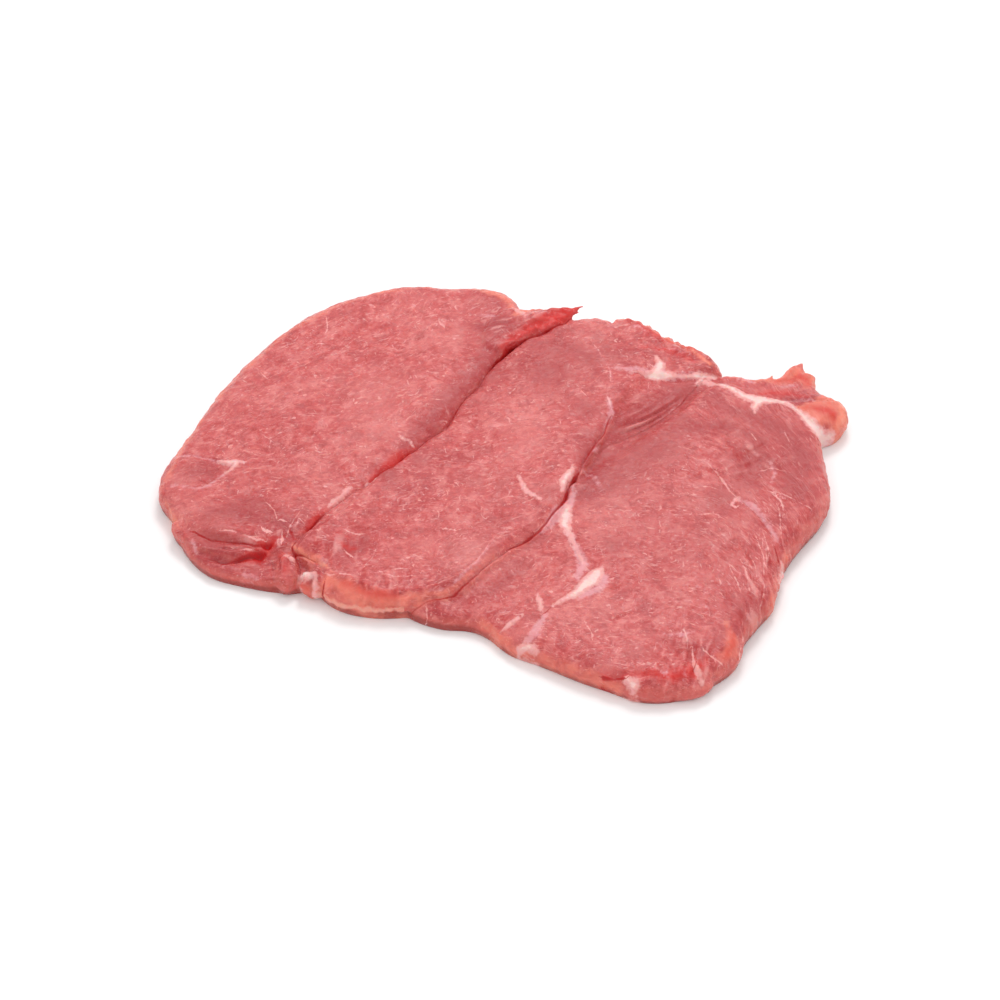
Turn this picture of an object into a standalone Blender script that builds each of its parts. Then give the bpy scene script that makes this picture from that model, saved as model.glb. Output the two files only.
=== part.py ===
"""Raw pork leg steak: one boneless slice of the leg, lying flat on its cut face.

Three lobes of lean meat lie against each other like shingles, held together by
seams of fat, with a few smaller muscles along the far edge. Each lobe is a sphere
pressed into a slab with a rounded edge. All of them are joined into one solid,
creased along its folds, and cut flat where it rests.

Plan values are in millimetres from the middle of the steak, +X along its length,
+Y to its far side. Heights are in millimetres above the surface that it lies on.
A spot is a plan point with a height: (x, y, height).
"""

import math

import bmesh
import bpy
import numpy as np
from mathutils import Vector, noise

MM = 0.001

# ---------------------------------------------------------------- driving sizes
STEAK_LENGTH = 230.0
STEAK_WIDTH = 188.5
SLICE = 12.0  # thickness that the slice was cut to
RIM = 0.40 * SLICE  # height at which a free edge bulges out the most
EDGE = 0.60 * SLICE  # width of the rounded edge seen from above
THIN_EDGE = 0.28 * SLICE  # the same on a lip or a thin flap
BELOW = -0.25 * SLICE  # depth of the lobes below the resting face, before it is cut
UNDER_EDGE = 0.30 * SLICE  # width of the rounded edge on the underside
SPOT_REACH = 22.0  # how far the height of one spot reaches
NEAR_SPOT_REACH = 11.0  # the same on a steep small muscle

WAVE = 0.045 * SLICE  # unevenness of the soft top
WAVE_LENGTH = 17.0
CREASE_FADE = 7.0  # length over which a crease runs out at its ends

VOXEL = 1.3  # grain of the joined skin
SOFTEN_ROUNDS = 4
TRIANGLES = 10800  # before the underside is cut away

FLESH = (0.62, 0.16, 0.16, 1.0)
FLESH_ROUGHNESS = 0.42


# ----------------------------------------------------------------- small helpers
def clear_scene():
    for obj in list(bpy.data.objects):
        bpy.data.objects.remove(obj, do_unlink=True)


def new_collection(name):
    collection = bpy.data.collections.new(name)
    bpy.context.scene.collection.children.link(collection)
    return collection


def new_object(bm, name, collection):
    """An object of this collection that takes over the bmesh."""
    mesh = bpy.data.meshes.new(name)
    bm.to_mesh(mesh)
    bm.free()
    obj = bpy.data.objects.new(name, mesh)
    collection.objects.link(obj)
    return obj


def apply_modifiers(obj):
    """Keeps the mesh that the object's modifiers make, and drops the modifiers."""
    graph = bpy.context.evaluated_depsgraph_get()
    old = obj.data
    obj.data = bpy.data.meshes.new_from_object(obj.evaluated_get(graph))
    obj.modifiers.clear()
    bpy.data.meshes.remove(old)


def smooth_loop(corners, count):
    """Points evenly spaced along a closed Catmull-Rom curve through the corners."""
    corners = np.array(corners, float)
    a, b, c, d = (np.roll(corners, shift, axis=0)[:, None, :] for shift in (1, 0, -1, -2))
    t = np.linspace(0, 1, 16, endpoint=False)[None, :, None]
    fine = b + 0.5 * t * (c - a + t * (2 * a - 5 * b + 4 * c - d + t * (3 * b - a - 3 * c + d)))
    fine = fine.reshape(-1, 2)
    closed = np.vstack([fine, fine[:1]])
    lengths = np.linalg.norm(np.diff(closed, axis=0), axis=1)
    along = np.concatenate([[0], np.cumsum(lengths)])
    wanted = np.linspace(0, along[-1], count, endpoint=False)
    return np.column_stack([np.interp(wanted, along, closed[:, i]) for i in (0, 1)])


def blend(spots, x, y, reach=SPOT_REACH):
    """The height that the spots blend to at x, y."""
    weights = [
        math.exp(-((x - spot[0]) ** 2 + (y - spot[1]) ** 2) / reach**2) + 1e-9
        for spot in spots
    ]
    return sum(w * spot[2] for w, spot in zip(weights, spots)) / sum(weights)


# ------------------------------------------------------------------------- lobes
def lobe(
    name, collection, centre, outline, tops, rims,
    edge=EDGE, spot_reach=SPOT_REACH, around=80, rings=28,
):  # fmt: skip
    """A slab with a rounded edge: a sphere pressed to an outline.

    Its top follows the spots in tops, and its edge bulges out the most at the
    height of the spots in rims, which is high where it rides up on its neighbour.
    """
    edge_share = 0.45  # share of the rings that round the edge
    loop = smooth_loop(outline, around)
    bm = bmesh.new()
    bmesh.ops.create_uvsphere(bm, u_segments=around, v_segments=rings, radius=1.0)
    for vert in bm.verts:
        turn = math.atan2(vert.co.y, vert.co.x) / math.tau
        edge_x, edge_y = loop[round(turn * around) % around]
        latitude = math.asin(max(-1.0, min(1.0, vert.co.z))) / (math.pi / 2)
        share = abs(latitude)
        quarter = min(share / edge_share, 1.0) * math.pi / 2
        reach = math.hypot(centre[0] - edge_x, centre[1] - edge_y)
        width = min(edge if latitude >= 0 else UNDER_EDGE, 0.9 * reach)
        inwards = width * (1 - math.cos(quarter)) / reach
        if share > edge_share:
            inwards += (1 - width / reach) * (share - edge_share) / (1 - edge_share)
        x = edge_x + (centre[0] - edge_x) * inwards
        y = edge_y + (centre[1] - edge_y) * inwards
        rim = blend(rims, edge_x, edge_y)
        far = blend(tops, x, y, spot_reach) if latitude >= 0 else BELOW
        z = rim + (far - rim) * math.sin(quarter)
        vert.co = (x * MM, y * MM, z * MM)
    bmesh.ops.remove_doubles(bm, verts=bm.verts, dist=1e-6)
    bmesh.ops.recalc_face_normals(bm, faces=bm.faces)
    return new_object(bm, name, collection)


def knob(name, collection, centre, size):
    """A knob of fat or lean: an egg of the given sizes along X, Y and Z."""
    bm = bmesh.new()
    bmesh.ops.create_uvsphere(bm, u_segments=20, v_segments=12, radius=0.5 * MM)
    bmesh.ops.scale(bm, verts=bm.verts, vec=size)
    bmesh.ops.translate(bm, verts=bm.verts, vec=[c * MM for c in centre])
    return new_object(bm, name, collection)


def left_lobe(collection):
    """It rides up on the middle lobe at its far half, and runs under it at its near one."""
    lobe(
        "left_lobe",
        collection,
        centre=(-58, 24),
        outline=[
            (-116, -8), (-114.5, 4), (-111, 15), (-106, 28), (-99, 44), (-91, 58), (-82, 71.5),
            (-70, 84), (-55, 92.5), (-38, 97.5), (-23, 96.5), (-8, 96), (0, 92), (4, 83), (2, 68),
            (-2, 58), (-7, 49), (-12, 40), (-17, 31), (-22, 22), (-29, 13), (-34, 5), (-38, -5),
            (-44, -16), (-52, -27), (-62, -35), (-76, -36), (-88, -33), (-99, -29), (-108, -22),
            (-113, -15),
        ],
        tops=[
            (-60, 25, 11.6), (-106, 5, 9.5), (-94, -20, 10.5), (-80, 62, 10), (-40, 80, 11),
            (-8, 84, 10.5), (-10, 52, 12.4), (-26, 24, 12.2), (-44, 2, 10.5), (-50, -16, 8),
            (-66, -22, 9), (-62, -34, 6.5), (-80, -30, 9.5),
        ],
        rims=[
            (-114, 0, RIM), (-70, 82, RIM), (0, 92, 6), (-2, 56, 9.5), (-28, 14, 9),
            (-45, -15, 4), (-88, -34, 6),
        ],
    )  # fmt: skip
    lobe(
        "left_tail",
        collection,
        centre=(8, 72),
        outline=[
            (-9, 72), (-3, 80), (7, 82), (15, 80), (20, 80.5), (24.5, 81), (22.5, 76), (17, 69.5),
            (9, 66), (2, 62), (-4, 57), (-10, 60),
        ],
        tops=[(22, 78, 15), (8, 73, 14.5), (-4, 70, 12.5), (-2, 62, 12.5)],
        rims=[(8, 70, 10.5)],
        edge=THIN_EDGE,
        around=48,
        rings=20,
    )  # fmt: skip


def left_end_folds(collection):
    """The near end of the left lobe: two lips that fold under its top one."""
    lobe(
        "upper_lip",
        collection,
        centre=(-86, -32),
        outline=[
            (-110, -21), (-98, -20), (-86, -22), (-76, -24), (-70, -30), (-75, -35),
            (-86, -37), (-97, -34.5), (-105, -29),
        ],
        tops=[(-100, -31, 6.5), (-88, -34, 8), (-76, -33, 8)],
        rims=[(-86, -36, 5.5)],
        edge=THIN_EDGE,
        around=48,
        rings=20,
    )  # fmt: skip
    lobe(
        "lower_lip",
        collection,
        centre=(-84, -36),
        outline=[
            (-106, -24), (-90, -28), (-74, -31), (-65, -38), (-66, -44.5), (-75, -45),
            (-88, -41.5), (-96, -37.5), (-102, -31),
        ],
        tops=[(-98, -36, 3.8), (-86, -39, 5.2), (-72, -40, 5.5)],
        rims=[(-86, -40, 2.6)],
        edge=THIN_EDGE,
        around=48,
        rings=20,
    )  # fmt: skip
    knob("lip_end", collection, centre=(-71.5, -39, 3.5), size=(14, 13, 10.5))
    knob("fat_knob", collection, centre=(-62.5, -44.5, 3.5), size=(9, 9, 11))


def middle_lobe(collection):
    """It rides up on the right lobe, and ends at the near side in a drooping wall."""
    return lobe(
        "middle_lobe",
        collection,
        centre=(-8, 12),
        outline=[
            (-18, 66), (2, 74), (18, 76), (32, 74), (44, 68), (50, 57), (47, 44), (40, 34),
            (35, 22), (31, 14), (27, 5), (23, -4), (19, -14), (15, -22), (10, -29), (3, -35),
            (-4, -41), (-10, -47), (-15, -53), (-22, -56), (-32, -57), (-42, -57), (-52, -54),
            (-59, -49), (-64, -42), (-69, -36), (-67, -31), (-60, -23), (-52, -14), (-47, -4),
            (-44, 8), (-38, 22), (-31, 36), (-26, 52),
        ],
        tops=[
            (4, 18, 12.2), (-26, -12, 11.8), (-54, -30, 11.6), (-46, -40, 10.2), (-40, -50, 8.8),
            (-20, -48, 10), (8, -18, 12.6), (23, 10, 13), (27, 38, 13.2), (12, 58, 11.4),
            (2, 44, 10.8), (-10, 28, 10.2), (-27, 6, 9.8), (-40, -4, 10), (-8, -36, 11.6),
            (36, 62, 12.8), (-34, 40, 6), (-24, 62, 6), (-60, -40, 9),
        ],
        rims=[
            (-52, -54, 4), (-20, -56, 5), (-4, -41, 7.5), (15, -22, 9), (30, 12, 10),
            (42, 40, 8), (32, 74, RIM), (-20, 50, 4), (-42, 8, 5), (-66, -34, 8),
        ],
        around=96,
    )  # fmt: skip


def far_muscle(collection):
    """The small muscle on the far side of the middle lobe, beyond its fat seam."""
    lobe(
        "far_muscle",
        collection,
        centre=(50, 61),
        outline=[
            (22, 73), (30, 79.5), (40, 80), (48, 76), (56, 70), (64, 63.5), (70, 60), (73.5, 54),
            (72.5, 48), (62, 43), (50, 42), (36, 42), (24, 56),
        ],
        tops=[(34, 72, 12), (50, 64, 12.8), (66, 55, 11.5), (60, 47, 11.2), (36, 50, 13)],
        rims=[(50, 70, RIM), (72, 50, RIM)],
        around=56,
        rings=20,
    )  # fmt: skip


def valley(collection):
    """The low muscle that slopes from the middle lobe down to the right one."""
    lobe(
        "valley",
        collection,
        centre=(45, 26),
        outline=[
            (14, -6), (22, 14), (32, 34), (48, 48), (66, 50), (74, 43), (66, 31), (58, 21),
            (46, 11), (34, -1), (22, -12),
        ],
        tops=[
            (26, 2, 9), (31, 12, 10.4), (35, 24, 12.2), (46, 36, 12), (62, 44, 11), (33, 6, 8),
            (42, 17, 7.8), (51, 26, 7.4), (60, 34, 7.4), (66, 41, 8), (52, 16, 5),
        ],
        rims=[(45, 26, 5)],
        edge=THIN_EDGE,
        spot_reach=NEAR_SPOT_REACH,
        around=56,
        rings=20,
    )  # fmt: skip


def right_lobe(collection):
    """The widest lobe. It carries the edge of the middle one, and thins to its sides."""
    lobe(
        "right_lobe",
        collection,
        centre=(52, -22),
        outline=[
            (36, 11), (46, 20), (57, 30), (66, 41), (74, 45), (83, 41), (91, 38), (98, 33),
            (102.5, 25), (104, 14), (104.5, 1), (104, -10), (101, -18), (96, -25), (91, -32),
            (87, -41), (85, -48), (82, -57), (78, -63), (73, -71), (70, -79), (64, -84),
            (57, -88), (48, -92), (38, -92), (29, -88), (20, -84), (9, -78), (-1, -73),
            (-8, -66), (-14, -63), (-23, -62), (-33, -57), (-38, -48), (-30, -38), (-14, -26),
            (4, -14), (20, -2),
        ],
        tops=[
            (52, -20, 12), (82, 14, 12.2), (97, -8, 10.5), (78, -46, 10), (54, -78, 9),
            (20, -74, 8.8), (0, -60, 8.6), (26, -44, 11), (6, -30, 8.8), (20, -8, 10),
            (46, 4, 11.4), (70, 34, 11), (-14, -54, 7), (-27, -56, 5), (100, 18, 10), (-20, -36, 5),
        ],
        rims=[(100, 10, RIM), (80, -60, 4), (30, -88, 4), (-20, -62, 2.6), (50, 24, 6), (0, -20, 4)],
        around=112,
    )  # fmt: skip


def far_right_muscles(collection):
    """Beyond the right lobe's fat seam: a thin ragged strip and a round muscle end."""
    lobe(
        "far_flap",
        collection,
        centre=(93, 42),
        outline=[
            (69, 47), (75, 49), (80, 47.5), (86, 49.5), (92, 49.5), (97, 53.5), (101, 56), (103, 51.5),
            (105.5, 49), (105, 43), (107, 36), (99, 29), (88, 31), (77, 36),
        ],
        tops=[(76, 44, 9), (90, 43, 9), (99, 50, 10.5), (104, 42, 8.5)],
        rims=[(90, 40, 5)],
        edge=THIN_EDGE,
        around=60,
        rings=20,
    )  # fmt: skip
    lobe(
        "far_corner",
        collection,
        centre=(105, 29),
        outline=[
            (97, 38), (104, 40), (110, 38), (114, 33), (114, 27.5), (110.5, 22.5), (106, 20),
            (100, 18), (96, 25),
        ],
        tops=[(105, 29, 10.8)],
        rims=[(105, 29, RIM)],
        around=40,
        rings=20,
    )  # fmt: skip


def near_edge_knobs(collection):
    knob("near_fat_knob", collection, centre=(37, -88, 2.2), size=(8, 8, 7))
    knob("near_red_knob", collection, centre=(50, -86, 3.0), size=(22, 12, 10))


# ------------------------------------------------------------- creases and dents
# Each fold line of the top: its width, its depth and its points.
CREASES = [
    # the slit between the left and middle lobes, each of which overlaps the other
    (
        2.0, 1.6,
        [
            (27, 75), (15, 68), (4, 63), (-2, 57), (-7, 49), (-12, 40), (-17, 31), (-22, 22), (-30, 12),
            (-37, 3), (-44, -4), (-52, -12), (-60, -21), (-68, -30), (-70, -35), (-64, -41),
        ],
    ),
    # the cleft under the free edge of the middle lobe
    (2.0, 1.3, [(-34, -58), (-16, -54), (-4, -41), (10, -29), (17, -18), (24, -3), (28, 7), (34, 20)]),
    # the bottom of the valley
    (3.6, 0.7, [(30, 8), (41, 18), (50, 26), (59, 34), (67, 43)]),
    # the fat seam between the valley and the far muscle
    (2.2, 0.5, [(75, 50), (62, 45), (50, 44), (40, 46)]),
    # the silver skin between the middle lobe and the far muscle
    (2.6, 0.4, [(24, 70), (31, 60), (36, 50), (38, 40), (35, 28)]),
    # the fat seam along the far side of the right lobe
    (2.4, 1.0, [(66, 45), (78, 43), (90, 38), (99, 31), (105, 19)]),
    # the fold between the upper lip and the top of the left lobe
    (1.5, 1.5, [(-103, -25), (-92, -29), (-80, -31), (-71, -31)]),
    # the thick seam across the right lobe
    (4.0, 0.6, [(16, -12), (19, -34), (22, -48), (14, -58), (8, -68), (4, -78)]),
    # the edge muscle at the right
    (2.4, 0.4, [(64, 0), (78, -18), (86, -32), (91, -38)]),
]  # fmt: skip

# Each shallow dent: its middle, its radius and its depth. A swell has a depth below 0.
DENTS = [
    (-12, 76, 9, 1.0),
    (-100, 2, 5, 0.9),
    (-84, -14, 10, 0.5),
    (-47, -32, 8, 1.6),
    (-60, -34, 6, -0.8),
    (81, -1, 8, 0.8),
    (60, -62, 9, -0.6),
    (32, -66, 8, 0.5),
]


def path_distance(points, path):
    """Distance of each point to an open path, and of its nearest place to the path's ends."""
    nearest = np.full(len(points), np.inf)
    run_out = np.zeros(len(points))
    lengths = [math.dist(start, end) for start, end in zip(path, path[1:])]
    for i, (start, end) in enumerate(zip(path, path[1:])):
        run = np.subtract(end, start) / lengths[i]
        along = np.clip((points - start) @ run, 0, lengths[i])
        gap = np.linalg.norm(points - start - along[:, None] * run, axis=1)
        from_ends = np.minimum(sum(lengths[:i]) + along, sum(lengths[i:]) - along)
        closer = gap < nearest
        nearest[closer], run_out[closer] = gap[closer], from_ends[closer]
    return nearest, run_out


def press_top(obj):
    """Lowers the top along its creases and in its dents, and makes it a little uneven."""
    mesh = obj.data
    flat = np.empty(len(mesh.vertices) * 3, np.float32)
    mesh.vertices.foreach_get("co", flat)
    co = flat.reshape(-1, 3).astype(float) / MM
    drop = np.zeros(len(co))
    for width, depth, path in CREASES:
        gap, from_ends = path_distance(co[:, :2], path)
        fade = np.clip(from_ends / CREASE_FADE, 0, 1)
        drop += depth * fade * np.exp(-((gap / width) ** 2))
    for x, y, radius, depth in DENTS:
        drop += depth * np.exp(-((co[:, 0] - x) ** 2 + (co[:, 1] - y) ** 2) / radius**2)
    drop += [WAVE * noise.noise(Vector(point) / WAVE_LENGTH) for point in co]
    co[:, 2] -= drop * np.clip(co[:, 2] / RIM, 0, 1)
    mesh.vertices.foreach_set("co", (co * MM).astype(np.float32).ravel())


# ------------------------------------------------------------------- joined solid
def join_lobes(steak, others):
    """One Boolean union, then one even skin over what it joined."""
    union = steak.modifiers.new("join", "BOOLEAN")
    union.operation = "UNION"
    union.operand_type = "COLLECTION"
    union.collection = others
    union.solver = "EXACT"
    apply_modifiers(steak)
    for obj in list(others.objects):
        bpy.data.objects.remove(obj, do_unlink=True)
    bpy.data.collections.remove(others)
    skin = steak.modifiers.new("skin", "REMESH")
    skin.mode = "VOXEL"
    skin.voxel_size = VOXEL * MM
    apply_modifiers(steak)


def soften_and_thin(obj):
    soften = obj.modifiers.new("soften", "SMOOTH")
    soften.factor = 0.5
    soften.iterations = SOFTEN_ROUNDS
    thin = obj.modifiers.new("thin", "DECIMATE")
    thin.ratio = TRIANGLES / (2 * len(obj.data.polygons))
    apply_modifiers(obj)


def drop_scraps(bm):
    """Keeps the largest connected skin, so hollows sealed under the lobes are filled."""
    waiting = set(bm.verts)
    islands = []
    while waiting:
        island = [waiting.pop()]
        for vert in island:
            linked = {edge.other_vert(vert) for edge in vert.link_edges} & waiting
            waiting -= linked
            island.extend(linked)
        islands.append(island)
    islands.sort(key=len)
    scraps = [vert for island in islands[:-1] for vert in island]
    bmesh.ops.delete(bm, geom=scraps, context="VERTS")


def rest_flat(obj):
    """Cuts the solid flat where it rests, and fits it to its driving sizes."""
    bm = bmesh.new()
    bm.from_mesh(obj.data)
    geometry = bm.verts[:] + bm.edges[:] + bm.faces[:]
    bmesh.ops.bisect_plane(
        bm, geom=geometry, dist=1e-7, plane_co=(0, 0, 0), plane_no=(0, 0, 1), clear_inner=True
    )
    drop_scraps(bm)
    foot = [edge for edge in bm.edges if edge.is_boundary]
    bmesh.ops.contextual_create(bm, geom=foot)
    low, high = ([pick(vert.co[i] for vert in bm.verts) for i in (0, 1)] for pick in (min, max))
    middle = [(a + b) / 2 for a, b in zip(low, high)]
    bmesh.ops.translate(bm, verts=bm.verts, vec=(-middle[0], -middle[1], 0))
    fit = (STEAK_LENGTH * MM / (high[0] - low[0]), STEAK_WIDTH * MM / (high[1] - low[1]), 1)
    bmesh.ops.scale(bm, verts=bm.verts, vec=fit)
    bmesh.ops.triangulate(bm, faces=bm.faces)
    bmesh.ops.recalc_face_normals(bm, faces=bm.faces)
    print("moved by", [round(-m / MM, 2) for m in middle], "scaled by", [round(f, 4) for f in fit])
    bm.to_mesh(obj.data)
    bm.free()


def raw_flesh():
    material = bpy.data.materials.new("raw_flesh")
    material.use_nodes = True
    shader = material.node_tree.nodes["Principled BSDF"]
    shader.inputs["Base Color"].default_value = FLESH
    shader.inputs["Roughness"].default_value = FLESH_ROUGHNESS
    shader.inputs["Metallic"].default_value = 0.0
    return material


def main():
    clear_scene()
    part = new_collection("pork_leg_steak")
    others = new_collection("joined_lobes")
    steak = middle_lobe(part)
    steak.name = "pork_leg_steak"
    left_lobe(others)
    left_end_folds(others)
    far_muscle(others)
    valley(others)
    right_lobe(others)
    far_right_muscles(others)
    near_edge_knobs(others)
    join_lobes(steak, others)
    press_top(steak)
    soften_and_thin(steak)
    rest_flat(steak)
    steak.data.materials.clear()
    steak.data.materials.append(raw_flesh())
    steak.data.shade_smooth()


main()
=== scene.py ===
# %% [markdown]
# # A raw pork leg steak
# One boneless slice of pork leg lies on a white surface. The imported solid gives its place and
# its size. This script builds the same slice with a finer skin, and gives it its finish.

# %% Load the frame
import math

import bmesh
import bpy
import numpy as np
from mathutils import Matrix, Vector, noise


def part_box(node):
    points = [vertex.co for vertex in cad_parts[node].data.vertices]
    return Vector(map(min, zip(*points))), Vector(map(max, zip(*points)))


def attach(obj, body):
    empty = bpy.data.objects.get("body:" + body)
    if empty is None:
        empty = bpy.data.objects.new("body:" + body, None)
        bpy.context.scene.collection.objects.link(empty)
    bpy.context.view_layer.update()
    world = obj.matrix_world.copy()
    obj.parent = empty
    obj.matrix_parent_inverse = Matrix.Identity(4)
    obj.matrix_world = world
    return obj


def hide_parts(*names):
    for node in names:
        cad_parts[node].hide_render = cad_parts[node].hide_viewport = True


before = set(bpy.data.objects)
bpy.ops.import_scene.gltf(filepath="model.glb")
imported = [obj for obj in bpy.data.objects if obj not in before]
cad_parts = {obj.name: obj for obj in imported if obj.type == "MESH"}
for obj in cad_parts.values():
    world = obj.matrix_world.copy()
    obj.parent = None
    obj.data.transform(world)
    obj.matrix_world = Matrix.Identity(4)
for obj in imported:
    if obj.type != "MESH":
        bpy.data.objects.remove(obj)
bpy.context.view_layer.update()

STEAK = "pork_leg_steak"
cad_low, cad_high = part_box(STEAK)
print("the solid spans", [round(1000 * (b - a), 1) for a, b in zip(cad_low, cad_high)], "mm")

# %% [markdown]
# ## Sizes of the slice
# The slice was cut 12 mm thick. Its free edges are rounded, because soft meat bulges under its
# own weight. Every plan value is in millimetres from the middle of the steak, with +X along its
# length and +Y to its far side. A spot is a plan point with a height: (x, y, height).

# %% Driving sizes
MM = 0.001
SLICE = 12.0  # thickness that the slice was cut to
RIM = 0.40 * SLICE  # height at which a free edge bulges out the most
EDGE = 0.60 * SLICE  # width of the rounded edge seen from above
THIN_EDGE = 0.28 * SLICE  # the same on a lip or a thin flap
BELOW = -0.25 * SLICE  # depth of the lobes below the resting face, before it is cut
UNDER_EDGE = 0.30 * SLICE  # width of the rounded edge on the underside
SPOT_REACH = 22.0  # how far the height of one spot reaches
NEAR_SPOT_REACH = 11.0  # the same on a steep small muscle
SKIN = 0.75  # grain of the visible skin
print("cut", SLICE, "mm thick, with a rounded edge", EDGE, "mm wide")

# %% [markdown]
# ## How a lobe is made
# Each lobe of lean is a muscle cut across, so it is a slab with a free outline and a rounded
# edge. It could be an extruded outline with a bevel, but a bevel keeps one radius all round.
# Here a UV sphere is pressed to the outline: its upper half becomes the top and the rounded
# edge, and both follow a few spots with heights, so the slab can thin out and climb.


# %% Outline and height helpers
def smooth_loop(corners, count):
    """Points evenly spaced along a smooth closed curve through the corners."""
    steps = 16  # from each corner to the next
    corners = np.array(corners, float)
    a, b, c, d = (np.roll(corners, shift, axis=0)[:, None, :] for shift in (1, 0, -1, -2))
    t = np.linspace(0, 1, steps, endpoint=False)[None, :, None]
    fine = b + 0.5 * t * (c - a + t * (2 * a - 5 * b + 4 * c - d + t * (3 * b - a - 3 * c + d)))
    fine = fine.reshape(-1, 2)
    closed = np.vstack([fine, fine[:1]])
    along = np.concatenate([[0], np.cumsum(np.linalg.norm(np.diff(closed, axis=0), axis=1))])
    wanted = np.linspace(0, along[-1], count, endpoint=False)
    return np.column_stack([np.interp(wanted, along, closed[:, i]) for i in (0, 1)])


def blend(spots, x, y, reach):
    """The height that the spots blend to at each x, y."""
    least = 1e-9  # a far spot keeps this weight, so that the total is never 0
    total = np.zeros_like(x)
    weights = np.zeros_like(x)
    for spot_x, spot_y, height in spots:
        weight = np.exp(-((x - spot_x) ** 2 + (y - spot_y) ** 2) / reach**2) + least
        total += weight * height
        weights += weight
    return total / weights


# %% Press a sphere to a lobe
def lobe(centre, outline, tops, rims, edge=EDGE, spot_reach=SPOT_REACH, around=200, rings=96):
    """A bmesh slab whose top follows the spots in tops, and whose edge bulges out the most
    at the height of the spots in rims."""
    edge_share = 0.45  # share of the rings that round the edge
    widest = 0.9  # share of the way to the centre that the rounded edge can take
    loop = smooth_loop(outline, around)
    bm = bmesh.new()
    bmesh.ops.create_uvsphere(bm, u_segments=around, v_segments=rings, radius=1.0)
    co = np.array([vert.co for vert in bm.verts])
    turn = np.arctan2(co[:, 1], co[:, 0]) / math.tau
    edge_x, edge_y = loop[np.rint(turn * around).astype(int) % around].T
    latitude = np.arcsin(np.clip(co[:, 2], -1, 1)) / (math.pi / 2)
    share = np.abs(latitude)
    upper = latitude >= 0
    quarter = np.minimum(share / edge_share, 1) * math.pi / 2
    reach = np.hypot(centre[0] - edge_x, centre[1] - edge_y)
    width = np.minimum(np.where(upper, edge, UNDER_EDGE), widest * reach)
    inwards = width * (1 - np.cos(quarter)) / reach
    flat_part = np.maximum(share - edge_share, 0) / (1 - edge_share)
    inwards += (1 - width / reach) * flat_part
    x = edge_x + (centre[0] - edge_x) * inwards
    y = edge_y + (centre[1] - edge_y) * inwards
    rim = blend(rims, edge_x, edge_y, SPOT_REACH)
    far = np.where(upper, blend(tops, x, y, spot_reach), BELOW)
    z = rim + (far - rim) * np.sin(quarter)
    for vert, place in zip(bm.verts, np.column_stack([x, y, z]) * MM):
        vert.co = place
    bmesh.ops.remove_doubles(bm, verts=bm.verts, dist=1e-6)
    bmesh.ops.recalc_face_normals(bm, faces=bm.faces)
    return bm


def knob(centre, size):
    """A bmesh egg of the given sizes along X, Y and Z: a knob of fat or lean."""
    bm = bmesh.new()
    bmesh.ops.create_uvsphere(bm, u_segments=32, v_segments=20, radius=0.5 * MM)
    bmesh.ops.scale(bm, verts=bm.verts, vec=size)
    bmesh.ops.translate(bm, verts=bm.verts, vec=[c * MM for c in centre])
    return bm


def shred(foot, tip, width):
    """A bmesh spike from foot to tip: a shred of torn lean."""
    tip_radius = 0.2
    foot, tip = Vector(foot) * MM, Vector(tip) * MM
    turn = (tip - foot).to_track_quat("Z", "Y").to_matrix().to_4x4()
    bm = bmesh.new()
    bmesh.ops.create_cone(
        bm, cap_ends=True, segments=10, radius1=0.5 * width * MM, radius2=tip_radius * MM,
        depth=(tip - foot).length, matrix=Matrix.Translation((foot + tip) / 2) @ turn,
    )
    return bm


# %% [markdown]
# ## The left lobe
# It is the largest muscle of the slice. Along its far half its edge lies on top of the middle
# lobe, and a thin tail of it curls over there. At its near end it is folded into two lips.

# %% Left lobe and its folded end
left_lobe = lobe(
    centre=(-58, 24),
    outline=[
        (-116, -8), (-114.5, 4), (-111, 15), (-106, 28), (-99, 44), (-91, 58), (-82, 71.5),
        (-70, 84), (-55, 92.5), (-38, 97.5), (-23, 96.5), (-8, 96), (0, 92), (4, 83), (2, 68),
        (-2, 58), (-7, 49), (-12, 40), (-17, 31), (-22, 22), (-29, 13), (-34, 5), (-38, -5),
        (-44, -16), (-52, -27), (-62, -35), (-76, -36), (-88, -33), (-99, -29), (-107, -22),
        (-112, -15),
    ],
    tops=[
        (-60, 25, 11.6), (-106, 5, 9.5), (-94, -20, 10.5), (-80, 62, 10), (-40, 80, 11),
        (-8, 84, 10.5), (-10, 52, 12.4), (-26, 24, 12.2), (-44, 2, 10.5), (-50, -16, 8),
        (-66, -22, 9), (-62, -34, 6.5), (-80, -30, 9.5),
    ],
    rims=[
        (-114, 0, RIM), (-70, 82, RIM), (0, 92, 6), (-2, 56, 9.5), (-28, 14, 9),
        (-45, -15, 4), (-88, -34, 6),
    ],
)
left_tail = lobe(
    centre=(8, 72),
    outline=[
        (-9, 72), (-3, 80), (5, 80), (12, 76.5), (16.5, 74), (19, 72.5), (18, 70.5), (14.5, 68),
        (9, 66), (2, 62), (-4, 57), (-10, 60),
    ],
    tops=[(22, 78, 15), (8, 73, 14.5), (-4, 70, 12.5), (-2, 62, 12.5)],
    rims=[(8, 70, 10.5)],
    edge=THIN_EDGE,
)
upper_lip = lobe(
    centre=(-86, -32),
    outline=[
        (-110, -21), (-98, -20), (-86, -22), (-76, -24), (-70, -30), (-75, -35),
        (-86, -37), (-97, -34.5), (-105, -29),
    ],
    tops=[(-100, -31, 6.5), (-88, -34, 8), (-76, -33, 8)],
    rims=[(-86, -36, 5.5)],
    edge=THIN_EDGE,
)
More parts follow.
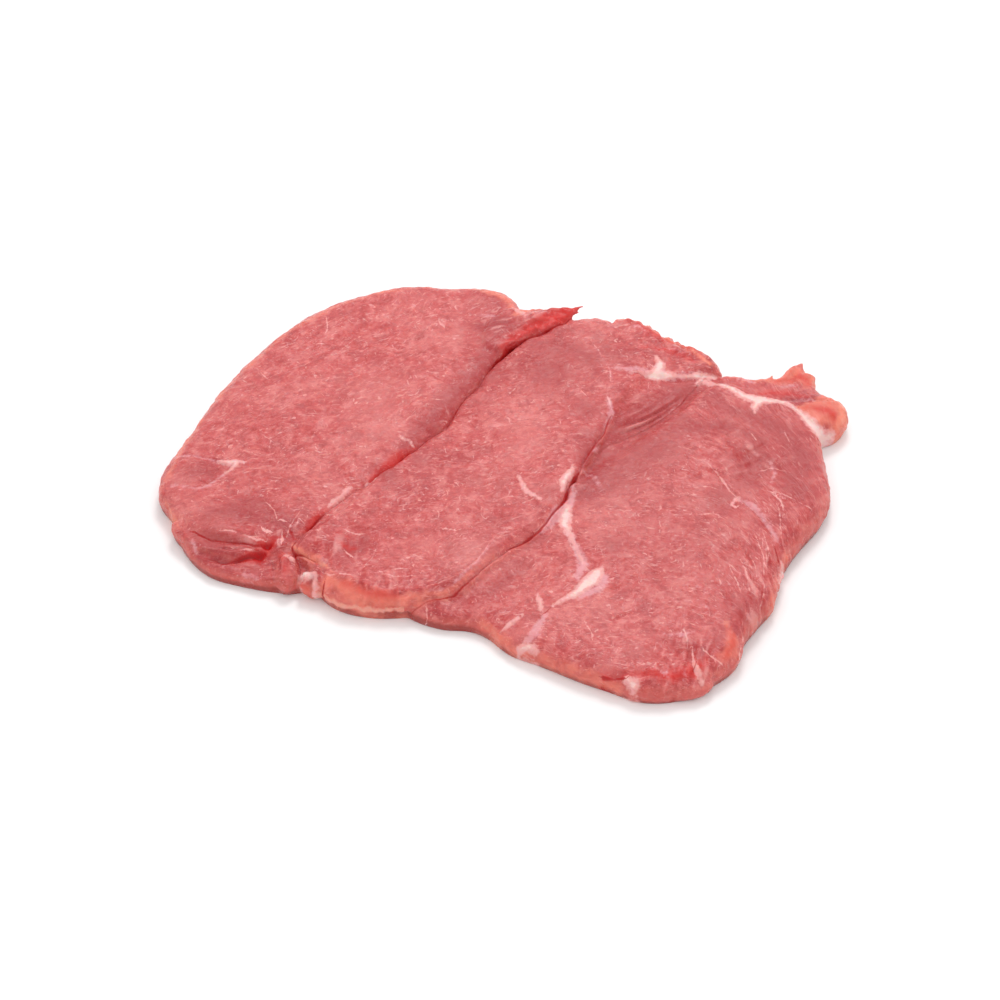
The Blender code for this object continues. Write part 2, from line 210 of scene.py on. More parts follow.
lower_lip = lobe(
    centre=(-84, -36),
    outline=[
        (-106, -25), (-90, -28), (-74, -31), (-65, -38), (-65, -46), (-75, -46.5),
        (-88, -43.5), (-97, -39.5), (-104, -32),
    ],
    tops=[(-98, -36, 4.6), (-86, -40, 5.8), (-72, -41, 6.2)],
    rims=[(-86, -40, 2.6)],
    edge=THIN_EDGE,
)
lip_end = knob(centre=(-71.2, -41, 3.5), size=(9, 16, 11))
fat_knob = knob(centre=(-62.3, -46.8, 4), size=(8, 8, 9))
tail_shreds = [
    shred((8, 74, 11), (25, 77, 13), 8),
    shred((8, 77, 11), (22, 79, 14), 6),
    shred((16, 75.5, 12), (27.5, 80.5, 14), 3.6),
    shred((14, 73, 11), (24, 74, 12), 4),
]
left_parts = [left_lobe, left_tail, *tail_shreds, upper_lip, lower_lip, lip_end, fat_knob]
print("left lobe:", sum(len(bm.faces) for bm in left_parts), "faces")

# %% [markdown]
# ## The middle lobe
# Its right edge lies on the right lobe, and its near end droops over the surface as a soft wall.
# A small muscle lies on its far side, beyond a seam of fat, and a low one slopes down from it
# to the right lobe.

# %% Middle lobe, far muscle and valley
middle_lobe = lobe(
    centre=(-8, 12),
    outline=[
        (-18, 66), (2, 72), (17, 76.5), (25, 78), (31, 78.5), (35, 77), (40, 72), (44, 66),
        (50, 57), (47, 44), (40, 34), (35, 22), (31, 14), (27, 5), (23, -4), (19, -14), (15, -22),
        (10, -29), (3, -35), (-4, -41), (-10, -47), (-15, -53), (-22, -56), (-32, -57.5),
        (-42, -58), (-52, -56), (-59.5, -51), (-64, -42), (-69, -36), (-67, -31), (-60, -23),
        (-52, -14), (-47, -4), (-44, 8), (-38, 22), (-31, 36), (-26, 52),
    ],
    tops=[
        (4, 18, 12.2), (-26, -12, 11.8), (-54, -30, 11.6), (-46, -40, 10.2), (-40, -50, 8.8),
        (-20, -48, 10), (8, -18, 12.6), (23, 10, 13), (27, 38, 13.2), (12, 58, 11.4),
        (2, 44, 10.8), (-10, 28, 10.2), (-27, 6, 9.8), (-40, -4, 10), (-8, -36, 11.6),
        (36, 62, 12.8), (22, 69, 13), (-34, 40, 6), (-24, 62, 6), (-60, -40, 9),
    ],
    rims=[
        (-52, -54, 4), (-20, -56, 5), (-4, -41, 7.5), (15, -22, 9), (30, 12, 10),
        (42, 40, 8), (32, 74, RIM), (-20, 50, 4), (-42, 8, 5), (-66, -34, 8),
    ],
)
far_muscle = lobe(
    centre=(50, 61),
    outline=[
        (27, 64), (33, 73), (37, 78), (42, 78), (49, 74), (56, 68.5), (64, 62), (69.5, 58),
        (72.5, 53), (72.5, 48), (62, 43), (50, 42), (36, 42), (24, 56),
    ],
    tops=[(34, 72, 12), (50, 64, 12.8), (66, 55, 11.5), (60, 47, 11.2), (36, 50, 13)],
    rims=[(50, 70, RIM), (72, 50, RIM)],
)
valley = lobe(
    centre=(45, 26),
    outline=[
        (14, -6), (22, 14), (32, 34), (48, 48), (66, 50), (74, 43), (66, 31), (58, 21),
        (46, 11), (34, -1), (22, -12),
    ],
    tops=[
        (26, 2, 9), (31, 12, 10.4), (35, 24, 12.2), (46, 36, 12), (62, 44, 11), (33, 6, 8),
        (42, 17, 7.8), (51, 26, 7.4), (60, 34, 7.4), (66, 41, 8), (52, 16, 5),
    ],
    rims=[(45, 26, 5)],
    edge=THIN_EDGE,
    spot_reach=NEAR_SPOT_REACH,
)
middle_parts = [middle_lobe, far_muscle, valley]
print("middle lobe:", sum(len(bm.faces) for bm in middle_parts), "faces")

# %% [markdown]
# ## The right lobe
# It carries the edge of the middle one and thins out to its sides. Beyond its fat seam lie a
# ragged strip and the round end of another muscle.

# %% Right lobe, strip and round end
right_lobe = lobe(
    centre=(52, -22),
    outline=[
        (36, 11), (46, 20), (57, 30), (66, 41), (74, 45), (83, 41), (91, 38), (98, 33),
        (102.5, 25), (104, 14), (104.5, 1), (104, -10), (101, -18), (96, -25), (91, -32),
        (86, -41), (83.5, -48), (81.5, -56), (77, -62), (71.5, -70), (69, -78), (64, -83.5),
        (57, -88), (48, -92), (38, -92), (29, -88), (20, -84), (9, -78), (-1, -73),
        (-8, -66), (-14, -63), (-23, -62), (-33, -57), (-38, -48), (-30, -38), (-14, -26),
        (4, -14), (20, -2),
    ],
    tops=[
        (52, -20, 12), (82, 14, 12.2), (97, -8, 10.5), (78, -46, 10), (54, -78, 9),
        (20, -74, 8.8), (0, -60, 8.6), (26, -44, 11), (6, -30, 8.8), (20, -8, 10),
        (46, 4, 11.4), (70, 34, 11), (-14, -54, 7), (-27, -56, 5), (100, 18, 10), (-20, -36, 5),
    ],
    rims=[(100, 10, RIM), (80, -60, 4), (30, -88, 4), (-20, -62, 2.6), (50, 24, 6), (0, -20, 4)],
)
far_flap = lobe(
    centre=(93, 42),
    outline=[
        (69, 46), (75, 48), (80, 46.5), (86, 48), (92, 48.5), (97, 52.5), (101, 55), (103, 50.5),
        (105.5, 49), (105, 43), (107, 36), (99, 29), (88, 31), (77, 36),
    ],
    tops=[(76, 44, 9), (90, 43, 9), (99, 50, 10.5), (104, 42, 8.5)],
    rims=[(90, 40, 5)],
    edge=THIN_EDGE,
)
far_corner = lobe(
    centre=(105, 29),
    outline=[
        (97, 38), (104, 40), (110, 38), (114, 33), (114, 27.5), (110.5, 22.5), (106, 20),
        (100, 18), (96, 25),
    ],
    tops=[(105, 29, 10.8)],
    rims=[(105, 29, RIM)],
)
flap_shreds = [
    shred((96, 46, 7), (102.5, 56, 9), 4.0),
    shred((84, 43, 7), (92, 50, 8.5), 4.0),
]
near_fat_knob = knob(centre=(37, -88, 2.2), size=(8, 8, 7))
near_red_knob = knob(centre=(50, -86, 3.0), size=(22, 12, 10))
right_parts = [right_lobe, far_flap, far_corner, *flap_shreds, near_fat_knob, near_red_knob]
print("right lobe:", sum(len(bm.faces) for bm in right_parts), "faces")


# %% [markdown]
# ## One skin
# The muscles are one piece of meat, so they get one skin. A voxel remesh wraps all the lobes at
# once and keeps the notches between them. The skin is then cut open where it rests and fitted
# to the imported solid.


# %% Wrap the lobes
def keep_modifiers(obj):
    """Keeps the mesh that the object's modifiers make, and drops the modifiers."""
    graph = bpy.context.evaluated_depsgraph_get()
    old = obj.data
    obj.data = bpy.data.meshes.new_from_object(obj.evaluated_get(graph))
    obj.modifiers.clear()
    bpy.data.meshes.remove(old)


def wrapped(parts):
    """One object whose skin wraps all the bmeshes."""
    mesh = bpy.data.meshes.new("lobes")
    joined = bmesh.new()
    for bm in parts:
        bm.to_mesh(mesh)
        bm.free()
        joined.from_mesh(mesh)
    joined.to_mesh(mesh)
    joined.free()
    obj = bpy.data.objects.new("raw_pork_steak", mesh)
    bpy.context.scene.collection.objects.link(obj)
    skin = obj.modifiers.new("skin", "REMESH")
    skin.mode = "VOXEL"
    skin.voxel_size = SKIN * MM
    soften = obj.modifiers.new("soften", "SMOOTH")
    soften.factor = 0.5
    soften.iterations = 3
    keep_modifiers(obj)
    return obj


steak = wrapped(left_parts + middle_parts + right_parts)
print("skin:", len(steak.data.vertices), "points,", len(steak.data.polygons), "faces")


# %% Cut it open where it rests, and fit it
def drop_scraps(bm):
    """Keeps the largest connected skin."""
    waiting = set(bm.verts)
    islands = []
    while waiting:
        island = [waiting.pop()]
        for vert in island:
            linked = {edge.other_vert(vert) for edge in vert.link_edges} & waiting
            waiting -= linked
            island.extend(linked)
        islands.append(island)
    islands.sort(key=len)
    scraps = [vert for island in islands[:-1] for vert in island]
    bmesh.ops.delete(bm, geom=scraps, context="VERTS")


def cut_and_fit(mesh):
    """Opens the skin at the resting face and fits it to the solid's length and width."""
    bm = bmesh.new()
    bm.from_mesh(mesh)
    geometry = bm.verts[:] + bm.edges[:] + bm.faces[:]
    bmesh.ops.bisect_plane(
        bm, geom=geometry, dist=1e-7, plane_co=(0, 0, 0), plane_no=(0, 0, 1), clear_inner=True
    )
    drop_scraps(bm)
    low, high = ([pick(vert.co[i] for vert in bm.verts) for i in (0, 1)] for pick in (min, max))
    bmesh.ops.translate(bm, verts=bm.verts, vec=(-low[0], -low[1], 0))
    fit = [(cad_high[i] - cad_low[i]) / (high[i] - low[i]) for i in (0, 1)]
    bmesh.ops.scale(bm, verts=bm.verts, vec=(*fit, 1))
    bmesh.ops.translate(bm, verts=bm.verts, vec=(cad_low[0], cad_low[1], 0))
    bm.to_mesh(mesh)
    bm.free()
    print("fitted by", [round(f, 4) for f in fit], "from", [round(1000 * v, 1) for v in low])


cut_and_fit(steak.data)

# %% [markdown]
# ## Folds and seams
# Where two muscles touch, the surface rolls down into a narrow cleft, and where the near end is
# folded, the folds run into dark pits. Sculpting them by hand can't be repeated, so each one is
# a short path with a depth: the script measures every point's distance to it and lowers the
# skin there. A path with a negative depth is a raised line, such as the rim of a cut edge.


# %% Measure every point against a path
def measure(places, path):
    """For each plan point: its distance to the path, its side (1 is left, -1 is right), the
    path's half width there, and how far that place is from the nearer end."""
    path = np.array([(*point, 0.0)[:3] for point in path], float)
    lengths = np.linalg.norm(np.diff(path[:, :2], axis=0), axis=1)
    starts = np.concatenate([[0], np.cumsum(lengths)])
    gap = np.full(len(places), np.inf)
    side = np.ones(len(places))
    half = np.zeros(len(places))
    from_end = np.zeros(len(places))
    for i, length in enumerate(lengths):
        run = (path[i + 1, :2] - path[i, :2]) / length
        offset = places - path[i, :2]
        along = np.clip(offset @ run, 0, length)
        away = np.linalg.norm(offset - along[:, None] * run, axis=1)
        near = away < gap
        gap[near] = away[near]
        side[near] = np.sign(run[0] * offset[near, 1] - run[1] * offset[near, 0])
        half[near] = path[i, 2] + (path[i + 1, 2] - path[i, 2]) * along[near] / length
        place = starts[i] + along[near]
        from_end[near] = np.minimum(place, starts[-1] - place)
    return gap, side, half, from_end


def waves(points, lengths, seed=0.0):
    """Smooth noise from -1 to 1 at each point, with its wave length along X, Y and Z."""
    scaled = points / np.array(lengths) + seed
    return np.array([noise.noise(Vector(point)) for point in scaled])


# %% The long seams
LEFT_SEAM = [
    (23.5, 73), (18, 68), (13, 65), (6.5, 61.5), (2, 58.5), (-1, 55), (-4.5, 50.5), (-7, 46),
    (-10, 39.5), (-14, 33), (-17.5, 26.5), (-22, 18), (-29, 10), (-35.5, 3), (-41, -3),
    (-46, -8), (-52.5, -13), (-58, -19), (-62, -24), (-66, -30), (-68.5, -36),
]
RIGHT_SEAM = [
    (-43, -60.5), (-37.5, -60), (-31.5, -59.5), (-26.5, -58.5), (-22, -57.5), (-17, -56),
    (-13, -52.5), (-9, -47.5), (-4.5, -42.5), (0, -38.5), (6.5, -33.5), (11.5, -28), (15.5, -21.5),
    (18.5, -15.5), (21.5, -8.5), (25, -0.5), (29, 9), (33, 19),
]
VALLEY = [(64.5, 39), (59, 31), (53, 25.5), (47.5, 20.5), (40.5, 14.5), (33.5, 10.5)]
FAR_FAT = [(34, 45), (43, 42), (51, 42), (64, 43), (71, 44.5)]
RIGHT_FAT = [
    (65, 40), (71, 40.5), (77, 34.5), (84, 30), (90, 30.5), (96, 27.5), (100.5, 20.5), (106, 16.5),
]
MIDDLE_TIP = [
    (-68.5, -35.5), (-68, -39), (-64, -41), (-60.5, -43.5), (-58.5, -47), (-58, -51), (-57.5, -54),
]
MIDDLE_RIM = [
    (-58, -47), (-54, -49.5), (-49.5, -51), (-45, -53.5), (-40, -55.5), (-32.5, -56),
    (-26, -55.5), (-20, -53), (-15, -50), (-11, -46), (-8, -41.5), (-5, -36), (-2.5, -32.5),
]
UPPER_CREASE = [(-99.5, -30), (-95, -32), (-90.5, -33), (-86, -34), (-81, -35), (-76.5, -34.5)]
LOWER_CREASE = [(-96, -39), (-91, -40), (-86.5, -39.5), (-83, -38.5), (-80, -38), (-77, -37.5)]
print("left seam:", len(LEFT_SEAM), "points, right seam:", len(RIGHT_SEAM), "points")

# %% Clefts: depth, width to the left of the path, width to its right, and the path
CLEFTS = [
    (0.5, 0.8, 1, LEFT_SEAM),
    (0.9, 1.4, 6.5, LEFT_SEAM),
    (1, 1, 1.3, [(8, 62.5), (2, 58.5), (-1, 55), (-4.5, 50.5), (-8, 44)]),
    (0.9, 1.2, 3, [(-31, 8), (-35.5, 3), (-41, -3), (-46, -8)]),
    (0.5, 1.2, 1.2, [(15, -21), (18.5, -15.5), (21.5, -8), (22.5, -5)]),
    (1, 1.1, 2.4, [(-59, -20), (-62, -24), (-64.5, -27.5), (-68, -33)]),
    (0.9, 0.9, 0.9, MIDDLE_TIP),
    (0.5, 0.9, 0.7, RIGHT_SEAM),
    (0.8, 1.2, 1.2, [(14, -24), (18.5, -15.5), (21.5, -8.5), (23.5, -4)]),
    (0.6, 1.6, 3, [(14, -24), (6.5, -33.5), (0, -38.5), (-4.5, -42.5), (-9, -47.5)]),
    (0.8, 2.6, 2.6, VALLEY),
    (0.5, 0.9, 0.9, [(35.5, 17), (44, 22), (53, 28.5), (61, 35)]),
    (0.45, 0.9, 0.9, [(34.5, 13.5), (42.5, 18.5), (51, 25), (58.5, 31.5)]),
    (0.4, 1.4, 1.4, FAR_FAT),
    (0.5, 1.6, 1.6, RIGHT_FAT),
    (0.7, 0.8, 1.8, [(37, 25), (34, 20), (31.5, 14.5), (29, 8)]),
    (1.3, 1.7, 1.3, UPPER_CREASE),
    (0.5, 0.8, 0.8, [(-95, -36), (-87, -36), (-81, -36.5)]),
    (0.7, 0.8, 0.8, [(-91, -30), (-85, -31.5), (-79, -32)]),
    (1.7, 2, 1.4, LOWER_CREASE),
    (0.9, 1.2, 1.2, [(-76, -37), (-75, -43), (-74, -49)]),
    (1.1, 1, 1, [(-68.5, -36), (-67.5, -41), (-66.5, -46), (-66.5, -51)]),
    (0.6, 2.4, 2.4, [(19, -18), (18, -26), (20.5, -37), (22.5, -46)]),
    (0.7, 1.2, 1.2, [(83.5, -37), (85, -42), (84.5, -50)]),
    (0.5, 1.2, 1.2, [(64, -1), (69, -9), (75, -18), (80, -25), (85, -35)]),
    (0.4, 1.2, 1.2, [(28, -69.5), (33.5, -67.5), (39, -65)]),
    (1.2, 1.2, 1.2, [(27, -87), (31.5, -88.5), (35.5, -88)]),
    (0.6, 1.2, 1.2, [(53, -75), (54.5, -85), (57.5, -91)]),
    (0.9, 1.2, 1.2, [(92, 33), (99, 31), (106, 30), (109, 31)]),
    (0.8, 1, 2.4, [(71.5, -68), (70.5, -75.5), (69, -82)]),
    (0.4, 1.2, 1.2, [(-104, -6), (-98, -9), (-93, -5), (-92, -1), (-98, 2.5), (-106, 4)]),
    (0.6, 1.2, 3, [(-8, 73), (-2, 77), (4, 79)]),
    (-0.5, 1, 1.4, MIDDLE_RIM),
    (-0.3, 1.1, 1.1, [(-9, -64.5), (-3, -70), (3, -76), (10.5, -80), (21, -85.5), (28, -88)]),
]
print(len(CLEFTS), "clefts and rims")

# %% Dents and swellings: middle, radius, depth
DENTS = [
    (-11, 73, 8, 1.2), (2, 66, 4, 0.6), (-99, -1.5, 4, 0.7), (-86, -16, 8, 0.4),
    (-77, -34.4, 1.8, 2.5), (-79.5, -37.6, 1.8, 2), (-70, -30, 2.4, 1), (-49, -31, 5.5, 1.5),
    (-50, -39, 4.5, 1), (-58, -35, 5, -0.8), (-42, -45, 7, -0.3), (81.5, -2, 7, 1.1),
    (72, 17, 3.5, 0.8), (60, -60, 9, -0.7), (32, -55.5, 1.3, 0.7), (21.5, -8.5, 1.5, 1),
    (44, 24, 8, 0.4), (96, 44, 3, 0.8), (88, 46, 3, 0.6), (-62.5, -50.5, 1.6, 0.8),
]
print(len(DENTS), "dents and swellings")

# %% Wrinkles: middle, radius, direction in degrees, length and spacing of the ridges, height
WRINKLES = [
    (46, 23, 13, 38, 14, 1.5, 0.55), (82, -46, 17, -72, 10, 1.2, 0.9),
    (-88, -39, 12, -10, 11, 1.4, 0.7), (-12, -49, 9, -40, 5, 1.2, 0.35),
    (-42, -58, 11, -85, 6, 2.2, 1.1), (72, 3, 15, 35, 6, 2, 0.55),
    (88, -8, 12, -50, 6, 2, 0.55), (-70, -29, 7, 60, 6, 1.4, 0.7),
    (-71, -43, 5, 85, 6, 1.5, 0.6), (-1, 64, 9, 30, 8, 1.6, 0.8), (14, 72, 8, 20, 7, 1.4, 0.9),
    (55, 57, 11, -45, 5, 1.6, 0.6), (94, 43, 9, 35, 8, 1.3, 0.6),
    (50, -88, 11, 75, 6, 1.4, 0.75), (88, 8, 12, -60, 9, 2, 0.35),
    (-54, -41, 9, 95, 10, 2.2, 1), (75, -63, 10, -78, 8, 1.2, 0.9), (55, -79, 9, 80, 7, 2, 0.7),
    (24, -8, 6, 60, 6, 1.6, 0.6), (78, 8, 9, -40, 6, 2.2, 0.45),
]
print(len(WRINKLES), "wrinkled places")

# %% Ragged places: middle, radius, how high the lumps are
ROUGH = [
    (16, 77, 9, 0.9), (6, 66, 7, 0.8), (44, 72, 9, 1.3), (60, 60, 9, 1.3), (97, 48, 9, 1),
    (109, 30, 7, 0.8), (-72, -43, 7, 0.9), (-62, -50, 5, 0.9), (-38, -59, 12, 0.8),
    (46, -88, 12, 0.8), (86, -46, 8, 0.7), (-84, -24, 13, 0.35), (55, 62, 10, 0.8),
    (76, 4, 17, 0.4), (-62, -50, 4, 0.9), (61, -60, 8, 0.5),
]
print(len(ROUGH), "ragged places")


# %% Make the skin twice as fine along the narrow clefts
FINE_WIDTH = 1.5  # a cleft narrower than this gets the finer skin
FINE_REACH = 1.4  # and the finer skin reaches this far to either side
WANDER = 0.9  # how far the paths wander off their straight stretches


def refine(mesh, paths, reach):
    """Halves the edges whose ends both lie within reach of a path."""
    bm = bmesh.new()
    bm.from_mesh(mesh)
    places = np.array([vert.co[:2] for vert in bm.verts]) / MM
    near = np.zeros(len(places), bool)
    for path in paths:
        near |= measure(places, path)[0] < reach
    edges = [e for e in bm.edges if near[e.verts[0].index] and near[e.verts[1].index]]
    bmesh.ops.subdivide_edges(bm, edges=edges, cuts=1, use_grid_fill=True)
    bm.to_mesh(mesh)
    bm.free()


mesh = steak.data
narrow = [path for _, left, right, path in CLEFTS if max(left, right) < FINE_WIDTH]
refine(mesh, narrow, FINE_REACH)
count = len(mesh.vertices)
flat = np.empty(count * 3, np.float32)
mesh.vertices.foreach_get("co", flat)
skin_at = flat.reshape(-1, 3).astype(float) / MM
mesh.vertex_normals.foreach_get("vector", flat)
facing = flat.reshape(-1, 3).astype(float)
wander = np.column_stack([waves(skin_at, (9, 9, 9), seed) for seed in (11.3, 47.9)])
plan = skin_at[:, :2] + WANDER * wander
print("finer skin:", count, "points, highest at", round(skin_at[:, 2].max(), 2), "mm")


# %% Lower the skin along the clefts and in the dents
END_FADE = 5.0  # length over which a cleft runs out at its ends
V_SHAPE = 1.2  # 1 is a sharp V, and more rounds its shoulders
DEEPEST = 0.6  # share of the height that a cleft can take away


def near_spot(x, y, radius):
    """How near each point lies to a spot: 1 at its middle, and 0.37 at its radius."""
    return np.exp(-((plan - (x, y)) ** 2).sum(axis=1) / radius**2)


drop = np.zeros(count)
for depth, left_width, right_width, path in CLEFTS:
    gap, side, _, from_end = measure(plan, path)
    width = np.where(side > 0, left_width, right_width)
    fade = np.clip(from_end / END_FADE, 0, 1)
    drop += depth * fade * np.clip(1 - gap / width, 0, 1) ** V_SHAPE
for x, y, radius, depth in DENTS:
    drop += depth * near_spot(x, y, radius)
free = np.clip(skin_at[:, 2] / RIM, 0, 1)  # nothing moves where the steak rests
level = np.clip(facing[:, 2] + 0.3, 0.2, 1)  # steep skin sinks less than level skin
drop = np.minimum(drop, DEEPEST * skin_at[:, 2])
skin_at[:, 2] -= drop * free * level
print("deepest cleft", round(drop.max(), 2), "mm")

# %% [markdown]
# ## Grain of the muscles
# A muscle is a bundle of fibres, and a cut across the leg shows them at a slant. Each lobe has
# its own direction: the fibres fan out in the left one, run across the middle one, and bend
# down towards the edge of the right one. The direction is kept as an attribute, so that the
# relief here and the finish later follow the same fibres.

# %% Which lobe a point is in, and its place along and across the fibres
left_side = measure(plan, [(32, 92), *LEFT_SEAM, (-62, -44), (-60, -70)])[1]
right_side = measure(plan, [(84, 70), (71, 48), *VALLEY, *RIGHT_SEAM[::-1][2:], (-46, -80)])[1]
in_left = left_side < 0
in_right = (right_side > 0) & ~in_left
x, y = skin_at[:, 0], skin_at[:, 1]
FAN = (-230.0, -40.0)  # the fibres of the left lobe point away from here
FAN_SPREAD = 190  # millimetres across them for each radian that they turn
MIDDLE_RUN = (0.98, 0.17)  # direction of the middle lobe's fibres
BEND_FROM = 52  # the right lobe's fibres bend down from this x on
BEND_RADIUS = 22.5  # about the radius of that bend
APART = (300, 600)  # keeps the lobes' places along the fibres apart from each other
fan_reach = np.hypot(x - FAN[0], y - FAN[1])
fan_turn = FAN_SPREAD * np.arctan2(y - FAN[1], x - FAN[0])
bend = np.maximum(x - BEND_FROM, 0) ** 2 / (2 * BEND_RADIUS)
middle_along = MIDDLE_RUN[0] * x + MIDDLE_RUN[1] * y + APART[1]
middle_across = MIDDLE_RUN[0] * y - MIDDLE_RUN[1] * x
along = np.where(in_left, fan_reach, np.where(in_right, x + APART[0], middle_along))
across = np.where(in_left, fan_turn, np.where(in_right, y + bend, middle_across))
across = across + 2.6 * waves(skin_at, (15, 15, 15), 71.3) + 0.9 * waves(skin_at, (5, 5, 5), 36.7)
grain = np.column_stack([along, across, skin_at[:, 2]])
print("points in the left, right lobes:", in_left.sum(), in_right.sum())

# %% Unevenness, fibre relief, wrinkles and ragged walls
wall = np.clip(1 - facing[:, 2], 0, 1)
# Each term is a height in millimetres times waves of a length in millimetres.
swell = 0.5 * waves(skin_at, (22, 22, 22), 3.1) + 0.3 * waves(skin_at, (8, 8, 8), 8.6)
swell += 0.2 * waves(grain, (12, 3.8, 3.8), 5.2) + 0.12 * waves(grain, (5, 2.2, 2.2), 1.7)
lumps = waves(skin_at, (3.2, 3.2, 3.2), 6.4)
specks = waves(skin_at, (1.8, 1.8, 1.8), 2.2)
swell += 0.12 * lumps + 0.14 * specks + wall * (0.3 * lumps + 0.3 * specks)
furrows = np.zeros(count)
for x, y, radius, turn, length, spacing, height in WRINKLES:
    away = plan - (x, y)
    run = np.array([math.cos(math.radians(turn)), math.sin(math.radians(turn))])
    ridges = np.column_stack([away @ run, away @ (-run[1], run[0]), np.zeros(count)])
    furrows += height * near_spot(x, y, radius) * waves(ridges, (length, spacing, 1), x)
swell += furrows
for x, y, radius, height in ROUGH:
    swell += height * near_spot(x, y, radius) * (0.6 * lumps + 0.4 * specks)
print("unevenness from", round(swell.min(), 2), "to", round(swell.max(), 2), "mm")

# %% [markdown]
# ## Fat, silver skin and torn places
# Fat lies between the muscles as white seams with knots, and thin silver skin covers some of
# the slopes. A few pale patches are painted sheen, and the slits and pits are painted shade.
# Each is a path with a half width at every point. A point's depth inside the seam, in
# millimetres, is kept as an attribute, and the finish turns it into a soft edge. A negative
# half width leaves only flecks, where the frayed edge still reaches the path.

# %% Seams of fat: (x, y, half width)
FAT = [
    [(42, 42.5, -0.3), (46, 42.5, 0.5), (50.5, 42.7, 2), (54, 42.7, 1.4), (57, 42.5, 0.5),
     (61, 42.5, 0.4), (65, 43.2, 1.2), (71, 44.2, 0.8)],
    [(51, 43.5, 1.9), (52.5, 47, 1.4), (51, 51, 0.3)],
    [(64.5, 39.5, 0.4), (66, 41.5, 0.9), (71, 40.5, 0.9), (74, 37, 1.1), (77, 34.5, 1.3), (80, 32, 1.4),
     (84, 30, 2.1), (88, 30, 1.9), (91, 30.5, 1.3), (94, 29.5, 1.2), (96, 27.5, 1.2), (98.5, 24, 1.5),
     (100.5, 20.5, 1.9), (103, 17, 2.2), (106, 16.5, 1.9), (109, 18.5, 0.6)],
    [(85, 29.3, 1.9), (83, 26.5, 1.2), (82.5, 24, 0.4)],
    [(21, -3.5, 0.4), (19.5, -7.5, 1.3), (18, -11.5, 1.3), (17, -15, 0.4)],
    [(3, -8, 0.2), (4.5, -11, 0.5), (5.5, -14.5, 0.7), (7.5, -17, 0.7), (10, -19.5, 0.4)],
    [(18.5, -20, 0.7), (18, -23.5, 1.9), (18, -27, 1.7), (19, -30, 0.8), (20.5, -36, 0.3),
     (22, -40.5, 0.4), (23.5, -45, 0.4)],
    [(29.5, -47.5, 0.2), (27.5, -50, 1.9), (25, -53, 2.4), (21.5, -56.5, 1.5), (17.5, -59.5, 0.9),
     (13.5, -62.5, 0.1)],
    [(8.5, -56.5, 0), (9.5, -60.5, 0.9), (9.5, -64, 0.3)],
    [(-2.5, -70, 0), (0.5, -68.5, 0.8), (3, -66, 0.2)],
    [(3, -76.5, 0.6), (5.5, -77, 1), (8, -78.5, 0.5)],
    [(72, -20.5, 0.4), (74, -17, 0.4)],
    [(86, -42, 0.4), (86.5, -45.5, 1), (85, -49.5, 0.4)],
    [(-96, 2, 0.2), (-92, 1, 1.3), (-88, 0.5, 0.5)],
    [(-90, 0.5, 1.1), (-91.5, -2, 0.5), (-93, -4.5, 0.1)],
    [(-58.5, -17.5, 0.2), (-57, -15.5, 0.9), (-55, -14, 0.4), (-53, -11, 0.7), (-51.5, -10, 0.1)],
    [(-46.5, -8.5, 0.3), (-43.5, -7, 0.2)],
    [(-37.5, 12.5, 0), (-35, 11, 0.5), (-33, 11, 0.3), (-32, 9, 0.2)],
    [(-66, -46.8, 0.7), (-64, -48.3, 1.3), (-61.5, -48.8, 1)],
    [(-61, -49.5, 0.7), (-60.2, -52, 0.5), (-61.5, -53.5, 0.4)],
    [(-65, -50.5, 0.5), (-64.5, -52, 0.2)],
    [(2, 75.5, 0.3), (4, 73.5, 0.8), (6, 72.5, 0.6)],
    [(55.5, -85, 0.2), (57, -88.5, 0.6), (58, -91, 0.3)],
    [(35, -90, 1), (37.5, -92, 1.4)],
    [(7.5, 79, 0.3), (2, 79, 0.8), (0, 76, 0.3)],
    [(78, 46, 0.4), (82, 46.5, 0.7)],
    [(100.5, 54, 0.5), (99, 50.5, 0.2)],
    [(-70.5, -40.5, 0.5), (-69, -42.5, 0.5)],
    [(-73.5, -33.5, 0.5), (-73, -35.5, 0.2)],
]
print(len(FAT), "seams of fat")
